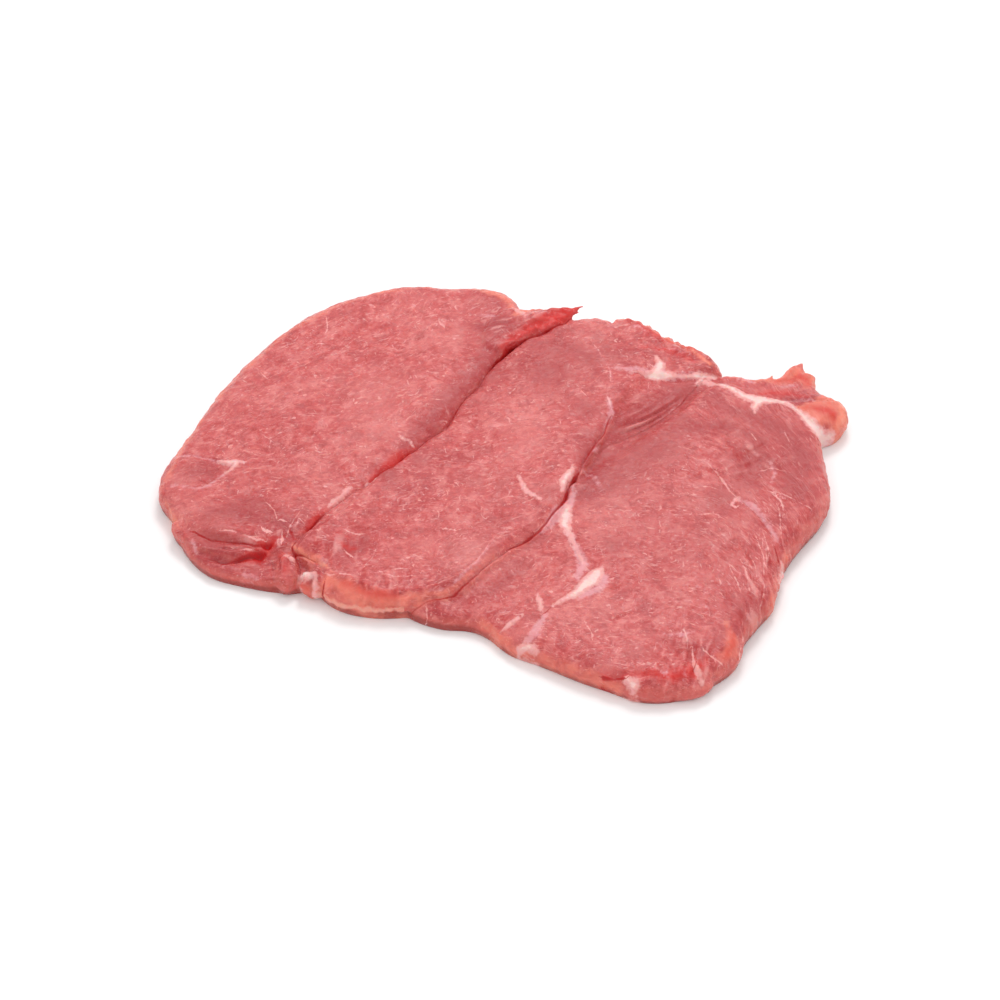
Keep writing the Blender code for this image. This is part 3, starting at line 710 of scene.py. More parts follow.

# %% Silver skin, and a few patches of painted sheen: (x, y, half width)
FILM_AND_SHEEN = [
    [(24, 62.5, -0.4), (28.5, 60, 0), (29.5, 58, -0.2), (31, 54.5, 0.3), (32, 50.5, -0.1),
     (34, 47, -0.3), (35, 42, 0.3), (35, 37, 0.1), (33, 33.5, -0.2), (33.5, 28.5, 0.6),
     (34.5, 23.5, 1.3), (33, 19.5, 0.5), (31.5, 15, 0)],
    [(30, 8, 0), (28.5, 5.5, 0.4), (27, 4, 0)],
    [(36, 45, 0.6), (42, 44, 1), (47, 43.5, 1.2), (56, 42, 1.2), (63, 43, 1.4)],
    [(21.5, -9, 0.3), (21, -14, 1), (19, -19, 1.8), (16, -23, 2.2), (12.5, -28, 1.3), (9.5, -32, 0.3)],
    [(25, -4, 0.2), (28, -7, 0.6), (29, -11, 0.2)],
    [(19, -30, 1.1), (20.5, -36, 1.2), (22, -40.5, 1.7), (23.5, -45.5, 1.7), (21.5, -50.5, 1.2)],
    [(29.5, -51, 1.6), (27.5, -56, 1.8), (22, -59, 1)],
    [(10.5, -65, 0.9), (9.5, -68.5, 1.3), (8, -72.5, 1.6), (6, -75, 1.3)],
    [(74.5, -17.5, 0.5), (78, -20.5, 1.2), (80, -24, 1), (82.5, -28.5, 0.8), (85, -34.5, 0.8)],
    [(86, 0, 0.3), (87, -5.5, 0.5), (85.5, -11, 0.1)],
    [(-101.5, -31.5, 0.3), (-100.5, -34, 0.8), (-99.5, -36, 0.3)],
    [(-112.5, 6, 0.3), (-109.5, 4, 0.5), (-105, 4, 0.3), (-99, 2.5, 0.4), (-95.5, 2, 0.7)],
    [(-93, -4.5, 0.5), (-95.5, -8, 0.5), (-98, -10.5, 0.6), (-101.5, -11.5, 0.5), (-105, -11, 0.3),
     (-110, -10, 0.3), (-113, -7.5, 0.4)],
    [(-4, 75, 0.6), (-10, 76, 0.5)],
    [(-25, -56.5, 0.1), (-19, -54.5, 0.2), (-16, -52, 0.4), (-13, -48.5, 0.4), (-10, -44.5, 0.3),
     (-7, -40.5, 0.2), (-4, -36, -0.1)],
    [(93, 32.5, 0), (99, 31.5, 0.4), (105.5, 30, 0.2)],
    [(93, 38.5, 0.2), (96, 39.5, 0.7), (99, 40.5, 0.2)],
    [(79, 43.5, 0.3), (82, 42.5, 0.9), (85, 41, 0.4)],
    [(44, -86.5, 0.2), (46.5, -88, 0.6), (47, -90, 0.2)],
    [(51, -86.5, 0.2), (52.5, -89, 0.5), (52.5, -91, 0.2)],
    [(47, -74, 0.2), (52, -74, 0.9), (56, -73, 0.2)],
    # Painted wet sheen on the right lobe:
    [(55, -52, -0.5), (60.5, -57, 0.4), (65, -62, -0.4)],
    [(55, -58, -0.6), (60, -63, 0.3), (62.5, -67, -0.5)],
    [(58, -51, -0.5), (63, -57, 0), (66, -62, -0.6)],
    [(-85.5, -43.5, 0), (-83, -45, 0.7), (-79.5, -46.5, 0.5)],
    [(-92, -41.5, -0.2), (-86, -43, 0.1), (-80, -43, -0.2)],
    [(-69, -21, -0.5), (-68, -25, 0.1), (-70, -28, -0.4)],
    [(-74, -27, -0.6), (-71, -29, -0.2), (-68, -29, -0.6)],
    [(52, 56, 0), (56, 55, 0.5), (60, 53, 0)],
    [(42, 66, 0.1), (45, 66.5, 0.5), (48, 64, 0)],
]
print(len(FILM_AND_SHEEN), "strips of silver skin")

# %% Thin pale threads in the lean: (x, y, half width)
PALE = [
    [(28.5, 60, -0.1), (29.5, 58, 0), (31, 54.5, 0.1), (32, 50.5, -0.1)],
    [(34.5, 45, -0.1), (35, 41, 0.1), (34.5, 37, 0)],
    [(33, 31, 0), (33.5, 28.5, 0.25), (34.5, 25, 0.1)],
    [(86, -20, 0), (87, -27, 0.1), (86, -34, 0)],
    [(80, -30, -0.05), (81.5, -38, 0.1), (81, -45, 0)],
    [(78, -34, -0.05), (79.5, -42, 0.1), (79.5, -50, -0.05)],
    [(69, -46, -0.05), (71, -53, 0.05), (71.5, -60, -0.1)],
    [(79, -52, 0), (78.5, -57, 0.1), (77, -62, 0)],
    [(66, -2.5, 0.1), (69, -8, 0.2), (72, -14, 0.2), (74.5, -17.5, 0.1)],
    [(71, -20, 0.1), (73.5, -21.5, 0.3), (74.5, -20.5, 0.1)],
    [(-64.5, 74, 0), (-64, 67.5, 0.15)],
    [(-65, 60, 0.2), (-64.5, 60, 0.2)],
    [(-34, 32, 0), (-31.5, 32.5, 0.2), (-30.5, 34.5, 0.1)],
    [(-24.5, 29, 0.2), (-23.5, 29, 0.1)],
    [(23, 36.5, 0.05), (25, 33, 0.15), (26.5, 31, 0)],
    [(-20, -30.5, 0.2), (-17.5, -31, 0.1)],
    [(-41.5, -33, -0.05), (-43, -43, 0), (-45, -46.5, 0.1)],
    [(-52.5, -29.5, 0), (-49, -30.5, 0.2), (-46, -31, 0)],
    [(-58.5, -48, 0.1), (-56.5, -49.5, 0.2), (-54.5, -49.5, 0.1)],
    [(-53, -49.5, 0.3), (-51, -49.5, 0.4), (-49.5, -50, 0.1)],
    [(-40, -48.5, 0.3), (-39, -48.5, 0.2)],
    [(-36.5, -48, 0), (-34, -47.5, 0.15), (-32, -47.5, 0)],
    [(-42, -49, -0.1), (-34.5, -50.7, 0.05), (-28, -50.3, -0.1)],
    [(-52, -39.5, 0.2), (-50, -41.5, 0.3)],
    [(-83, -32.6, 0.2), (-80.5, -33.4, 0.3), (-78.5, -32.8, 0.1)],
    [(-77.5, -29.8, 0.4), (-76.5, -29.9, 0.2)],
    [(-72.2, -33.2, 0.5), (-72.6, -31, 0.3)],
    [(-84, -36.8, 0.1), (-81.5, -36.4, 0.3)],
    [(55, -79.5, 0.1), (55, -85, 0.4), (56.7, -89.5, 0.3)],
    [(-26, -55, -0.15), (-20, -53, -0.05), (-15, -49.5, -0.15)],
    [(-12, -46, -0.15), (-8, -41.5, -0.05), (-4, -34.5, -0.15)],
    [(92, 14, 0.1), (94, 8, 0)],
    [(82, -4, 0), (87, -2.5, 0.05), (95, -6, -0.05)],
    [(84, -13.5, 0), (87, -17.5, 0.2), (88, -24, 0)],
    [(83, -13.5, 0), (90, -16, 0.05), (97, -21, -0.05)],
    [(80.5, 14, 0), (82, 10, 0.1)],
    [(58.5, -13, -0.05), (63.5, -12, 0.05), (67.5, -13, -0.05)],
    [(61, -24.5, -0.05), (66, -24.5, 0.05), (70.5, -26, -0.05)],
    [(75, -40.5, -0.05), (76.5, -46, 0.1), (77, -51, -0.1)],
    [(72.5, -44, -0.05), (74, -50, 0.05), (74, -56, -0.1)],
    [(59, -80, 0.1), (62, -83.5, 0.15), (64, -84.5, 0)],
    [(53, -72, 0.1), (53.5, -75.5, 0.2), (53.5, -78, 0)],
    [(71.5, -68, -0.05), (70.5, -75.5, 0.05), (69, -82, -0.05)],
    [(24, -71, 0), (25, -73.5, 0.2), (25, -76, 0)],
    [(-67, -20, -0.1), (-69.5, -24, 0), (-71, -28, -0.1)],
    [(-79, -17, 0), (-76, -21, 0.1), (-75, -25, 0)],
    [(-59, 55.5, -0.1), (-55, 61.5, 0), (-50.5, 65, -0.1)],
    [(-85, 43.5, 0.05), (-83, 41, 0.1)],
    [(-81, 12.5, 0), (-79, 11, 0.1), (-79.5, 7.5, 0)],
    [(-91, -30, 0.1), (-89, -30, 0), (-85, -31.5, 0.1), (-80, -32, 0)],
    [(-78.5, -29.5, 0.3), (-77.5, -30.5, 0.2)],
    [(-73.5, -25, 0.3), (-72, -25.5, 0.1)],
    [(-68, -24, 0.3), (-66.5, -25.5, 0.1)],
    [(-70.5, -27, 0.2), (-71, -29.5, 0)],
    [(-26, -60.5, 0.3), (-26, -61.7, 0.2)],
]
print(len(PALE), "pale threads")

# %% Dark slits of painted shade in the clefts: (x, y, half width)
# The first one opens along the left seam, with one half width for each of its first points.
LEFT_SLIT_SHADE = [0, 0.3, 0.4, 0.4, 0.7, 0.9, 0.5, 0.1, 0, 0.05, 0.2, 0.05, 0.15, 0.4, 0.1, -0.1]
SHADED_SLITS = [
    [(*point, half) for point, half in zip(LEFT_SEAM, LEFT_SLIT_SHADE)],
    [(-58, -19, -0.1), (-60, -21.5, 0.3), (-62, -24, 0.6), (-64.5, -27.5, 0.3), (-67, -32, 0.1),
     (-68.5, -36, 0.1), (-67.5, -39, 0.2), (-64, -41, 0.1), (-60.5, -43.5, 0),
     (-58.5, -47, -0.3)],
    [(-32, -60.2, 0), (-28, -59.5, 0), (-22, -58, 0.1),
     (-17, -56, 0.3), (-13, -52.5, 0.2), (-9, -47.5, 0), (-4.5, -42.5, -0.1),
     (0, -38.5, -0.05), (6.5, -33.5, 0.1), (11.5, -28, 0.25), (15.5, -21.5, 0.3),
     (18.3, -15.7, 0.6), (20, -12, 0), (21.4, -8, 0.6), (23.5, -4, 0)],
    [(11, -29, 0), (9.5, -31, 0.3), (6.5, -33.5, 0.5), (3, -36.5, 0.3), (-1, -39, 0)],
    [(-99.5, -30, 0.3), (-95, -32, 0.2), (-90.5, -33, 0.2), (-86, -34, 0.2), (-81, -35, 0.4),
     (-79, -34.7, 0.5)],
    [(-96, -39, 0), (-91, -40, 0.2), (-86.5, -39.5, 0.5), (-83, -38.5, 0.8), (-81, -38, 0.6)],
    [(-68.5, -36, 0.3), (-67.5, -41, 0.2), (-66.5, -46, 0)],
    [(-70, -29, 0.5), (-68.5, -32, 0.3)],
    [(23.5, 35.5, 0.1), (25.5, 33, 0)],
    [(-101, -29, 0.3), (-100, -29.5, 0.3)],
    [(34.5, 22, 0), (33, 18, 0.3), (31.5, 14, 0.25), (29.5, 10, 0.1), (28, 6.5, 0.3),
     (26.5, 3, 0.25), (25, -0.5, 0.1)],
    [(84, -38, 0.1), (85, -42, 0.2)],
    [(28, -88.5, 0.4), (34, -89.5, 0.4)],
    [(31, -55.5, 0), (32.5, -55.5, 0)],
    [(12, -63.5, 0.2), (10.5, -64.5, 0.2)],
    [(63, 38, -0.1), (59, 31, 0), (53, 25.5, 0), (47.5, 20.5, -0.1)],
    [(56, -84, 0.1), (55, -87, 0.1)],
    [(-57.8, -51.5, 0.3), (-58.3, -54, 0.4)],
    [(72, -18, -0.1), (74, -22, 0)],
]
print(len(SHADED_SLITS), "dark slits")

# %% Bright red, freshly torn lean, and some painted shade: (x, y, half width)
RED_TORN_AND_SHADED = [
    [(26, 78, 1.5), (20, 73, 3.2), (15, 70, 3.2), (10, 67, 2.4), (5, 64, 1.8), (1, 60, 1.2),
     (-2, 56, 0.6)],
    [(-31, 8.5, 0.4), (-36, 3.5, 1.8), (-41, -1.5, 1.8), (-46, -7, 0.4)],
    [(-59.5, -19.5, 0.2), (-62, -22.5, 1.5), (-64, -25.5, 1.3), (-66.5, -29, 0.2)],
    # Painted shade at the end of the upper crease:
    [(-80, -34, 0.6), (-77, -34.5, 1.8), (-73.5, -32.5, 0.9), (-72, -31, 0.2)],
    [(-56, -35.5, 0), (-53, -37, 0.6), (-49.5, -37.5, 0.2)],
    # Painted shade at the end of the lower crease:
    [(-85, -39, 0.4), (-80, -37.7, 1.8), (-77, -37, 0.8)],
    [(66.5, -72, 0.2), (67.5, -78, 0.5), (65.5, -82, 0.2)],
    [(-63.5, -50.8, 0.4), (-62.5, -52, 0.5)],
    [(-59, -37, 0), (-58.5, -41.5, 0.2)],
    [(49.5, -87, 0.6), (54, -86.5, 1.2), (56, -86, 0.4)],
    [(-72, -38, 0.4), (-71, -46, 0.6)],
    [(-52, -52.5, 0.5), (-44, -56, 0.8), (-36, -57.5, 0.4)],
    [(28, -88, 0.3), (37, -89, 0.4), (43, -88.5, 1.3), (49, -90, 2), (55, -88, 1.6), (59, -84, 0.2)],
    # Painted shade just above the far fat seam:
    [(83, 33.5, 0.2), (90, 36, 1), (96, 35, 1), (101, 33, 0.5)],
    [(91, 41.5, 0.4), (96, 43.5, 1.4), (101, 44, 1.4), (103, 40.5, 0.8)],
    [(101, 27, 0.4), (105, 25.5, 1.4), (108.5, 24.5, 1.8), (110.5, 21, 1)],
    [(46, 56, 0.3), (56, 54, 1), (64, 50, 0.5)],
    [(36, 73, 0.6), (42, 70, 0.5), (50, 64, 1), (60, 58, 0.8), (67, 52, 0.6)],
]
print(len(RED_TORN_AND_SHADED), "torn red places")

# %% Painted shade in the pits where folds meet: (x, y, half width)
SHADED_PITS = [
    [(-79, -34.6, 0.6), (-77, -34.4, 1.4), (-75.8, -34, 0.8)],
    [(-84, -38.8, 0.3), (-80.5, -37.9, 1.2), (-78.4, -37.2, 1.1)],
]
print(len(SHADED_PITS), "pits")

# %% Salmon orange, where light comes through a thin edge: (x, y, half width)
GLOW = [
    [(-113, -9, 0.4), (-108, 13, 0.4), (-99.5, 33, 0.3), (-89, 51.5, 0.3), (-76, 69, 0.3),
     (-62, 80.5, 0.3), (-46, 87.5, 0.1), (-28, 91, -0.3), (-10, 90, -0.2)],
    [(-112, -14, -0.2), (-108, -22, -0.2), (-105, -30, -0.6)],
    [(2, 72, 0.4), (9, 76.5, 1.6), (16, 77.5, 1.6), (26, 80, 2.5)],
    [(32, 74, 0.4), (44, 71.5, 1.2), (51, 65, 0.8), (56, 61, 0.5), (61, 57, 0.4), (66, 53, 0.4),
     (71, 48.5, 0.4)],
    [(-14, 90, 0.4), (-6, 88, 1.6), (0, 84, 1.6), (3, 78, 1.2)],
    [(76, 45, 0.6), (84, 44, 1.6), (92, 43, 2.6), (99, 46, 3.5), (103, 42, 2.5)],
    [(98, 27, 2), (104, 24.5, 5), (109, 29, 5), (111, 23, 4.5)],
    [(-57, -51, 1.4), (-52, -54, 2.4), (-46, -57, 2.4), (-38, -58.5, 1.2), (-28, -58, 0.2),
     (-20, -56, 0), (-14, -51.5, -0.2), (-9, -46, -0.6), (-4.5, -41, -0.8), (1, -36.5, -1.4)],
    [(66, -70, 0.2), (67, -76, 1.4), (66.5, -80.5, 1.4), (63.5, -82.5, 0.4)],
    [(83, -56, 0.6), (81, -61, 0.6)],
    [(34, 75, 0.6), (40, 75, 1.4), (46, 70, 0.8)],
    [(-68, -34.5, 0.1), (-67.5, -38, 0.3), (-63.5, -40, 0.3), (-60, -42.5, 0.1)],
    [(-64, -51.5, 1.2), (-61, -52, 1.2)],
    [(88, -32, -1), (87, -45, -0.2), (83.5, -57, 0.1), (78.5, -65, 0.1), (73, -75, 0.4)],
    [(-9, -65.5, 0), (3, -77, 0), (21, -86.5, 0.2), (32, -91, 0.4)],
]
print(len(GLOW), "glowing edges")

# %% Thin translucent rims, with a painted glow of light through them: (x, y, half width)
GLOWING_RIMS = [
    [(-68.5, -35, 0.3), (-66.5, -38.5, 0.5), (-64.5, -41, 0.5), (-62, -42.5, 0.5), (-60, -44, 0.4),
     (-58, -46, 0.3), (-55, -49, 0)],
    [(-112, -15, 0), (-108, -22, 0.2), (-105.5, -27.5, 0)],
    [(34, 76, 0.2), (42, 73, 0.7), (50, 67, 0.5), (56, 62, 0.3), (61, 57.5, 0.2), (66, 53, 0.4),
     (70, 48.5, 0.5)],
    [(84, 45, 0.3), (91, 46, 0.6), (97, 50, 0.9), (101.5, 52, 0.9), (104.5, 46, 0.7), (105.5, 38, 0.3)],
    [(110, 36.5, 0.5), (113, 31, 1.1), (113, 25, 1.3), (110, 20, 0.8)],
    [(6, 77, 0.2), (13, 76, 0.6), (20, 77.5, 0.6), (27, 80, 0.6)],
]
print(len(GLOWING_RIMS), "thin rims")

# %% Deeper red, darker lean, and painted shade in the valley and along the left seam: (x, y, half width)
DEEP_AND_SHADED = [
    # Painted shade on the slope of the valley:
    [(30, 8, 2), (40, 20, 5), (50, 28, 6), (62, 37, 3)],
    [(-12, 70, 2), (-2, 68, 2)],
    [(-96, -22, 2), (-84, -20, 7), (-72, -26, 4)],
    # Painted shade where the left lobe rolls down to its seam:
    [(-7, 54, 3), (-13, 41, 4), (-20, 30, 4), (-28, 18, 3.5), (-35, 8, 2)],
    [(8, 58, 1.5), (18, 60, 2.5), (27, 52, 2.5), (30, 40, 1)],
    [(70, 27, 2.5), (82, 22, 4), (92, 14, 4), (97, 2, 3.5), (93, -12, 3)],
    [(24, -14, 1), (27, -4, 2), (26, 6, 1)],
    [(65, 16, 3), (73, 17, 4), (84, 10, 2)],
    [(90, -2, 3), (94, -13, 5)],
    [(-50, -40, 3), (-46, -34, 2)],
    [(-104, -3, 3), (-98, -3, 4)],
    [(-90, -43, 1), (-82, -42, 1)],
    [(2, 66, 1.5), (30, 64, 0), (34, 52, 0.5)],
    [(46, -76, 0), (58, -80, 2), (66, -74, 0)],
    [(4, -44, 1.5), (-6, -54, 3)],
]
print(len(DEEP_AND_SHADED), "places of deeper red")

# %% Broad darker and paler patches of the lean: middle, radius, amount (above 0 deeper, below 0 paler)
TONES_AND_SHADES = [
    # Partly the lean's own tone, and partly painted shade and painted light on the slopes and beside
    # the clefts.
    (30, 2, 7, 0.6), (44, 8, 8, 0.8), (58, 17, 8, 0.8), (80, 1, 7, 0.9), (74, -64, 8, 0.7),
    (60, -30, 28, 0.35), (88, 12, 14, 0.3), (-97, -32, 9, 0.6), (-95, -38, 5, 0.6),
    (-83, -43, 5, -0.4), (-8, 62, 12, 0.4), (15, 48, 11, 0.6), (36, 52, 8, 0.4),
    (-30, 10, 6, 0.4), (-45, 32, 16, -0.5), (-98, 30, 14, -0.3), (-10, -44, 9, -0.9),
    (-25, -38, 9, -0.3), (7, 8, 10, -0.5), (38, -77, 8, -0.4), (20, -57, 8, -0.3),
    (31, -8, 9, 0.9), (45, -2, 8, 0.4), (78, -8, 6, 0.6), (54, 5, 6, 0.4), (24, 10, 6, 0.5),
    (-42, -2, 5, 0.5), (-52, -37, 5, 0.6), (-6, 84, 8, 0.4), (14, 38, 14, 0.35),
    (-40, 14, 7, -0.5), (-8, -8, 12, -0.3), (-69, -36, 5, -0.5), (-72.5, -32, 3.5, 1.1),
    (24, -14.5, 4, 0.9), (12.5, -16.5, 4, 0.6), (-39, -5.5, 4, 0.7), (-4, 67, 5, 0.7),
    (-3.5, 44, 5, 0.6), (26, 24, 6, 0.7), (7, -34, 4, 0.6), (-86, -37, 6, 0.5),
    (-107, -8, 6, -0.6), (29, -87, 4, -0.7), (4, -72, 4, -0.6), (55, 37.5, 5, 0.6),
    (68, -17, 5, 0.6), (-9, 30, 5, 0.5), (-39.5, -11.5, 4, 0.5), (-30, 2, 4, 0.6),
    (33, -38, 5, 0.5), (-53.5, -47.5, 4, -0.5), (7, -66, 4, 0.5), (66, -73, 4, 0.5),
    (-33, 82, 6, -0.4),
]
print(len(TONES_AND_SHADES), "broad shades")


# %% Depths inside the paths
OUTSIDE = -9.0  # depth of a point that lies far outside every path


def keep(name, kind, values):
    """Keeps a value for each point as an attribute of the mesh."""
    attribute = mesh.attributes.new(name, kind, "POINT")
    slot = "vector" if kind == "FLOAT_VECTOR" else "value"
    attribute.data.foreach_set(slot, np.asarray(values, np.float32).ravel())


def depth_inside(paths):
    """How deep each point lies inside the widest of the paths, in millimetres."""
    depth = np.full(count, OUTSIDE)
    for path in paths:
        gap, _, half, _ = measure(plan, path)
        depth = np.maximum(depth, half - gap)
    return depth


def line_marks(paths):
    """For lines thinner than the skin's grain: the signed distance to the nearest path, which
    stays exact between two points, the path's half width, and the depth inside it."""
    marks = np.full((count, 3), OUTSIDE)
    for path in paths:
        gap, side, half, _ = measure(plan, path)
        nearer = half - gap > marks[:, 2]
        marks[nearer] = np.column_stack([side * gap, half, half - gap])[nearer]
    return marks


# %% The foot of the walls, with its painted contact shadow
# It is painted darker, as shadow at the floor, but the middle lobe's near wall ends in a pale
# frayed fringe above it.
FOOT = [
    (-104, -30, 3.2), (-85, -46, 3), (-68, -50, 3.4), (-52, -56, 3.3), (-44, -58, 3.3),
    (-36, -60, 5), (-20, -62, 3.3), (8, -78, 3.2), (28, -88, 2.9), (50, -92, 1.4),
    (68, -82, 3.4), (85, -48, 3.6), (103, -10, 3.2), (90, 50, 3), (-60, 60, 3.4),
]
FOOT_REACH = 14  # how far the height of one of these spots reaches
FRINGE_TOP = 5.4  # height of its upper edge
FRINGE_WIDTH = 4  # how far it reaches to either side of its path
FRINGE_OVERLAP = 0.4  # how far it hangs over the dark foot
foot_height = blend(FOOT, plan[:, 0], plan[:, 1], FOOT_REACH)
fringe_gap = measure(plan, [(-58, -54), (-50, -58), (-43, -60), (-37, -60)])[0]
up = skin_at[:, 2]
fringe = np.minimum(FRINGE_TOP - up, up - foot_height + FRINGE_OVERLAP)
print("foot of the walls:", round(100 * (foot_height > up).mean(), 1), "% of the points")

# %% Keep the depths as attributes
# Of these, rim paints a glow and pit paints shade. Deep and red paint some shade, and film paints a few
# patches of sheen.
areas = {"fat": FAT, "film_and_sheen": FILM_AND_SHEEN, "red": RED_TORN_AND_SHADED, "glow": GLOW, "rim": GLOWING_RIMS, "deep": DEEP_AND_SHADED, "pit_shade": SHADED_PITS}
depths = {name: depth_inside(paths) for name, paths in areas.items()}
# Painted contact shadow: how far below the foot's height each point lies
depths["foot"] = foot_height - up
depths["fringe"] = np.where(fringe_gap < FRINGE_WIDTH, fringe, OUTSIDE)
# How steep the skin is: the finish paints glow and shade by it
depths["wall"] = wall
depths["furrows"] = furrows
# Darker and paler patches: partly the lean's own tone, and partly painted shade and light
depths["tone_and_shade"] = sum(amount * near_spot(x, y, radius) for x, y, radius, amount in TONES_AND_SHADES)
for name, depth in depths.items():
    keep(name, "FLOAT", depth)
    print(name, "is above 0 at", round(100 * (depth > 0).mean(), 1), "% of the points")
keep("grain", "FLOAT_VECTOR", grain)
keep("thread", "FLOAT_VECTOR", line_marks(PALE))
# Painted shade along the clefts: the dark slits
keep("slit_shade", "FLOAT_VECTOR", line_marks(SHADED_SLITS))

# %% Fat stands up a little, and the relief is applied
FAT_PROUD = 0.35  # how far a seam of fat stands above the lean
fat_share = np.clip(depths["fat"] + 0.5, 0, 1)  # the slope up to it is 1 mm wide
swell += FAT_PROUD * fat_share
skin_at += (swell * free)[:, None] * facing
skin_at[:, 2] = np.maximum(skin_at[:, 2], 0)
mesh.vertices.foreach_set("co", (skin_at * MM).astype(np.float32).ravel())
mesh.update()

# %% Close the underside
closing = bmesh.new()
closing.from_mesh(mesh)
foot = [edge for edge in closing.edges if edge.is_boundary]
bmesh.ops.contextual_create(closing, geom=foot)
bmesh.ops.triangulate(closing, faces=[face for face in closing.faces if len(face.verts) > 4])
bmesh.ops.recalc_face_normals(closing, faces=closing.faces)
closing.to_mesh(mesh)
closing.free()
mesh.shade_smooth()
triangles = sum(len(face.vertices) - 2 for face in mesh.polygons)
print("raw_pork_steak:", triangles, "triangles")

# %% [markdown]
# ## Raw lean pork
# Raw lean is wet muscle: light goes a few millimetres in and comes back red, so thin edges
# glow salmon red. The shader is one Principled BSDF with subsurface scattering. Its colour
# starts as pink lean and gets the mottling of the fibre bundles, thin pale threads and flecks
# of marbling, and then, by the attributes, the fat and the silver skin, a painted glow on the
# rims and walls, painted shade in the clefts, pits and wrinkles and at the foot of the walls,
# and a few patches of painted sheen.


# %% Node and colour helpers
def linear(code):
    """A linear colour from an sRGB hex code."""
    parts = [int(code[i : i + 2], 16) / 255 for i in (1, 3, 5)]
    return [c / 12.92 if c <= 0.04045 else ((c + 0.055) / 1.055) ** 2.4 for c in parts] + [1.0]


def add(tree, kind, inputs=None, **settings):
    """A new node with its settings. Each input is a value or a socket to link."""
    made = tree.nodes.new(kind)
    for name, value in settings.items():
        setattr(made, name, value)
    for name, value in (inputs or {}).items():
        if isinstance(value, bpy.types.NodeSocket):
            tree.links.new(value, made.inputs[name])
        else:
            made.inputs[name].default_value = value
    return made


FLESH = linear("#C55555")
FLESH_PALE = linear("#DE8682")
FLESH_DEEP = linear("#A5373B")
# Darker lean, and painted shade:
DARK_LEAN_AND_SHADE = linear("#A23A3E")
# Marbling, also painted as a highlight on the ridges of the wrinkles:
MARBLING_AND_SHEEN = linear("#ECADA9")
# Painted glow of light through thin edges, and painted shade on the steepest walls:
SALMON_GLOW = linear("#E88370")
WALL_SHADE_RED = linear("#C25450")
# Torn red, and painted shade:
TORN_RED_AND_SHADE = linear("#CC2C28")
# Silver skin, and painted sheen:
SILVER_AND_SHEEN = linear("#E2A5AB")
FAT_PINK = linear("#E6A6A3")
FAT_WHITE = linear("#F0CFC9")
# Painted glow through the thin rims:
RIM_GLOW_ORANGE = linear("#F0937C")
FRINGE_PALE = linear("#EBA594")
# Painted contact shadow at the foot of the walls:
FOOT_SHADOW_BROWN = linear("#8E3430")
# Painted shade inside the pits:
PIT_SHADE_RED = linear("#B8090E")
# Painted shade in the clefts and in the troughs of the wrinkles:
CLEFT_SHADE_RED = linear("#AE1517")
CLEFT_SHADE_DARK = linear("#8A0D10")

flesh = bpy.data.materials.new("raw_lean_pork")
flesh.use_nodes = True
tree = flesh.node_tree
shader = tree.nodes["Principled BSDF"]

# %% Patterns: vector, wave lengths in millimetres, detail, roughness, distortion
coordinates = add(tree, "ShaderNodeTexCoord")
place = add(
    tree, "ShaderNodeVectorMath", {0: coordinates.outputs["Object"], 1: (1000, 1000, 1000)},
    operation="MULTIPLY",
).outputs[0]
fibres = add(tree, "ShaderNodeAttribute", attribute_name="grain").outputs["Vector"]
PATTERNS = {
    "tone": (place, (24, 24, 24), 3, 0.5, 0.0),
    "mottle": (place, (5, 5, 5), 3, 0.55, 0.4),
    "patchy": (place, (11, 11, 11), 2, 0.5, 0.0),
    "ragged": (place, (1.6, 1.6, 1.6), 3, 0.6, 0.0),
    "grit": (place, (0.7, 0.7, 0.7), 2, 0.6, 0.0),
    "bundles": (fibres, (4.2, 2.6, 2.6), 4, 0.6, 1.3),
    "fine": (fibres, (1.4, 0.85, 0.85), 3, 0.7, 0.4),
    "strokes": (fibres, (3.0, 1.0, 1.0), 2, 0.5, 1.6),
    "streaks": (fibres, (6.0, 1.8, 1.8), 2, 0.5, 2.0),
    "cross": (fibres, (1.3, 2.6, 2.6), 2, 0.5, 0.9),
}
patterns = {}
for name, (vector, lengths, detail, roughness, distortion) in PATTERNS.items():
    scale = [1 / length for length in lengths]
    scaled = add(tree, "ShaderNodeVectorMath", {0: vector, 1: scale}, operation="MULTIPLY")
    settings = {"Vector": scaled.outputs[0], "Scale": 1.0, "Detail": detail}
    settings |= {"Roughness": roughness, "Distortion": distortion}
    patterns[name] = add(tree, "ShaderNodeTexNoise", settings).outputs["Fac"]
print("patterns:", ", ".join(patterns))


# %% Lay a tint over the colour
def lay(colour, tint, depth, start, full, share, fray=None, near=None):
    """Lays a tint over the colour where the depth climbs from start to full, and returns the
    new colour and the mask. Fray is a pattern and the amount by which it makes the edge
    uneven, and near is a second mask that keeps the tint close to its line."""
    if fray is not None:
        pattern, amount = fray
        depth = add(
            tree, "ShaderNodeMath", {0: patterns[pattern], 1: amount, 2: depth},
            operation="MULTIPLY_ADD",
        ).outputs[0]
        start += amount / 2  # the pattern's mean is a half
        full += amount / 2
    climb = {"Value": depth, "From Min": start, "From Max": full, "To Max": share}
    mask = add(tree, "ShaderNodeMapRange", climb, interpolation_type="SMOOTHSTEP").outputs[0]
    if near is not None:
        mask = add(tree, "ShaderNodeMath", {0: mask, 1: near}, operation="MULTIPLY").outputs[0]
    mixed = add(tree, "ShaderNodeMix", {0: mask, 6: colour, 7: tint}, data_type="RGBA")
    return mixed.outputs[2], mask


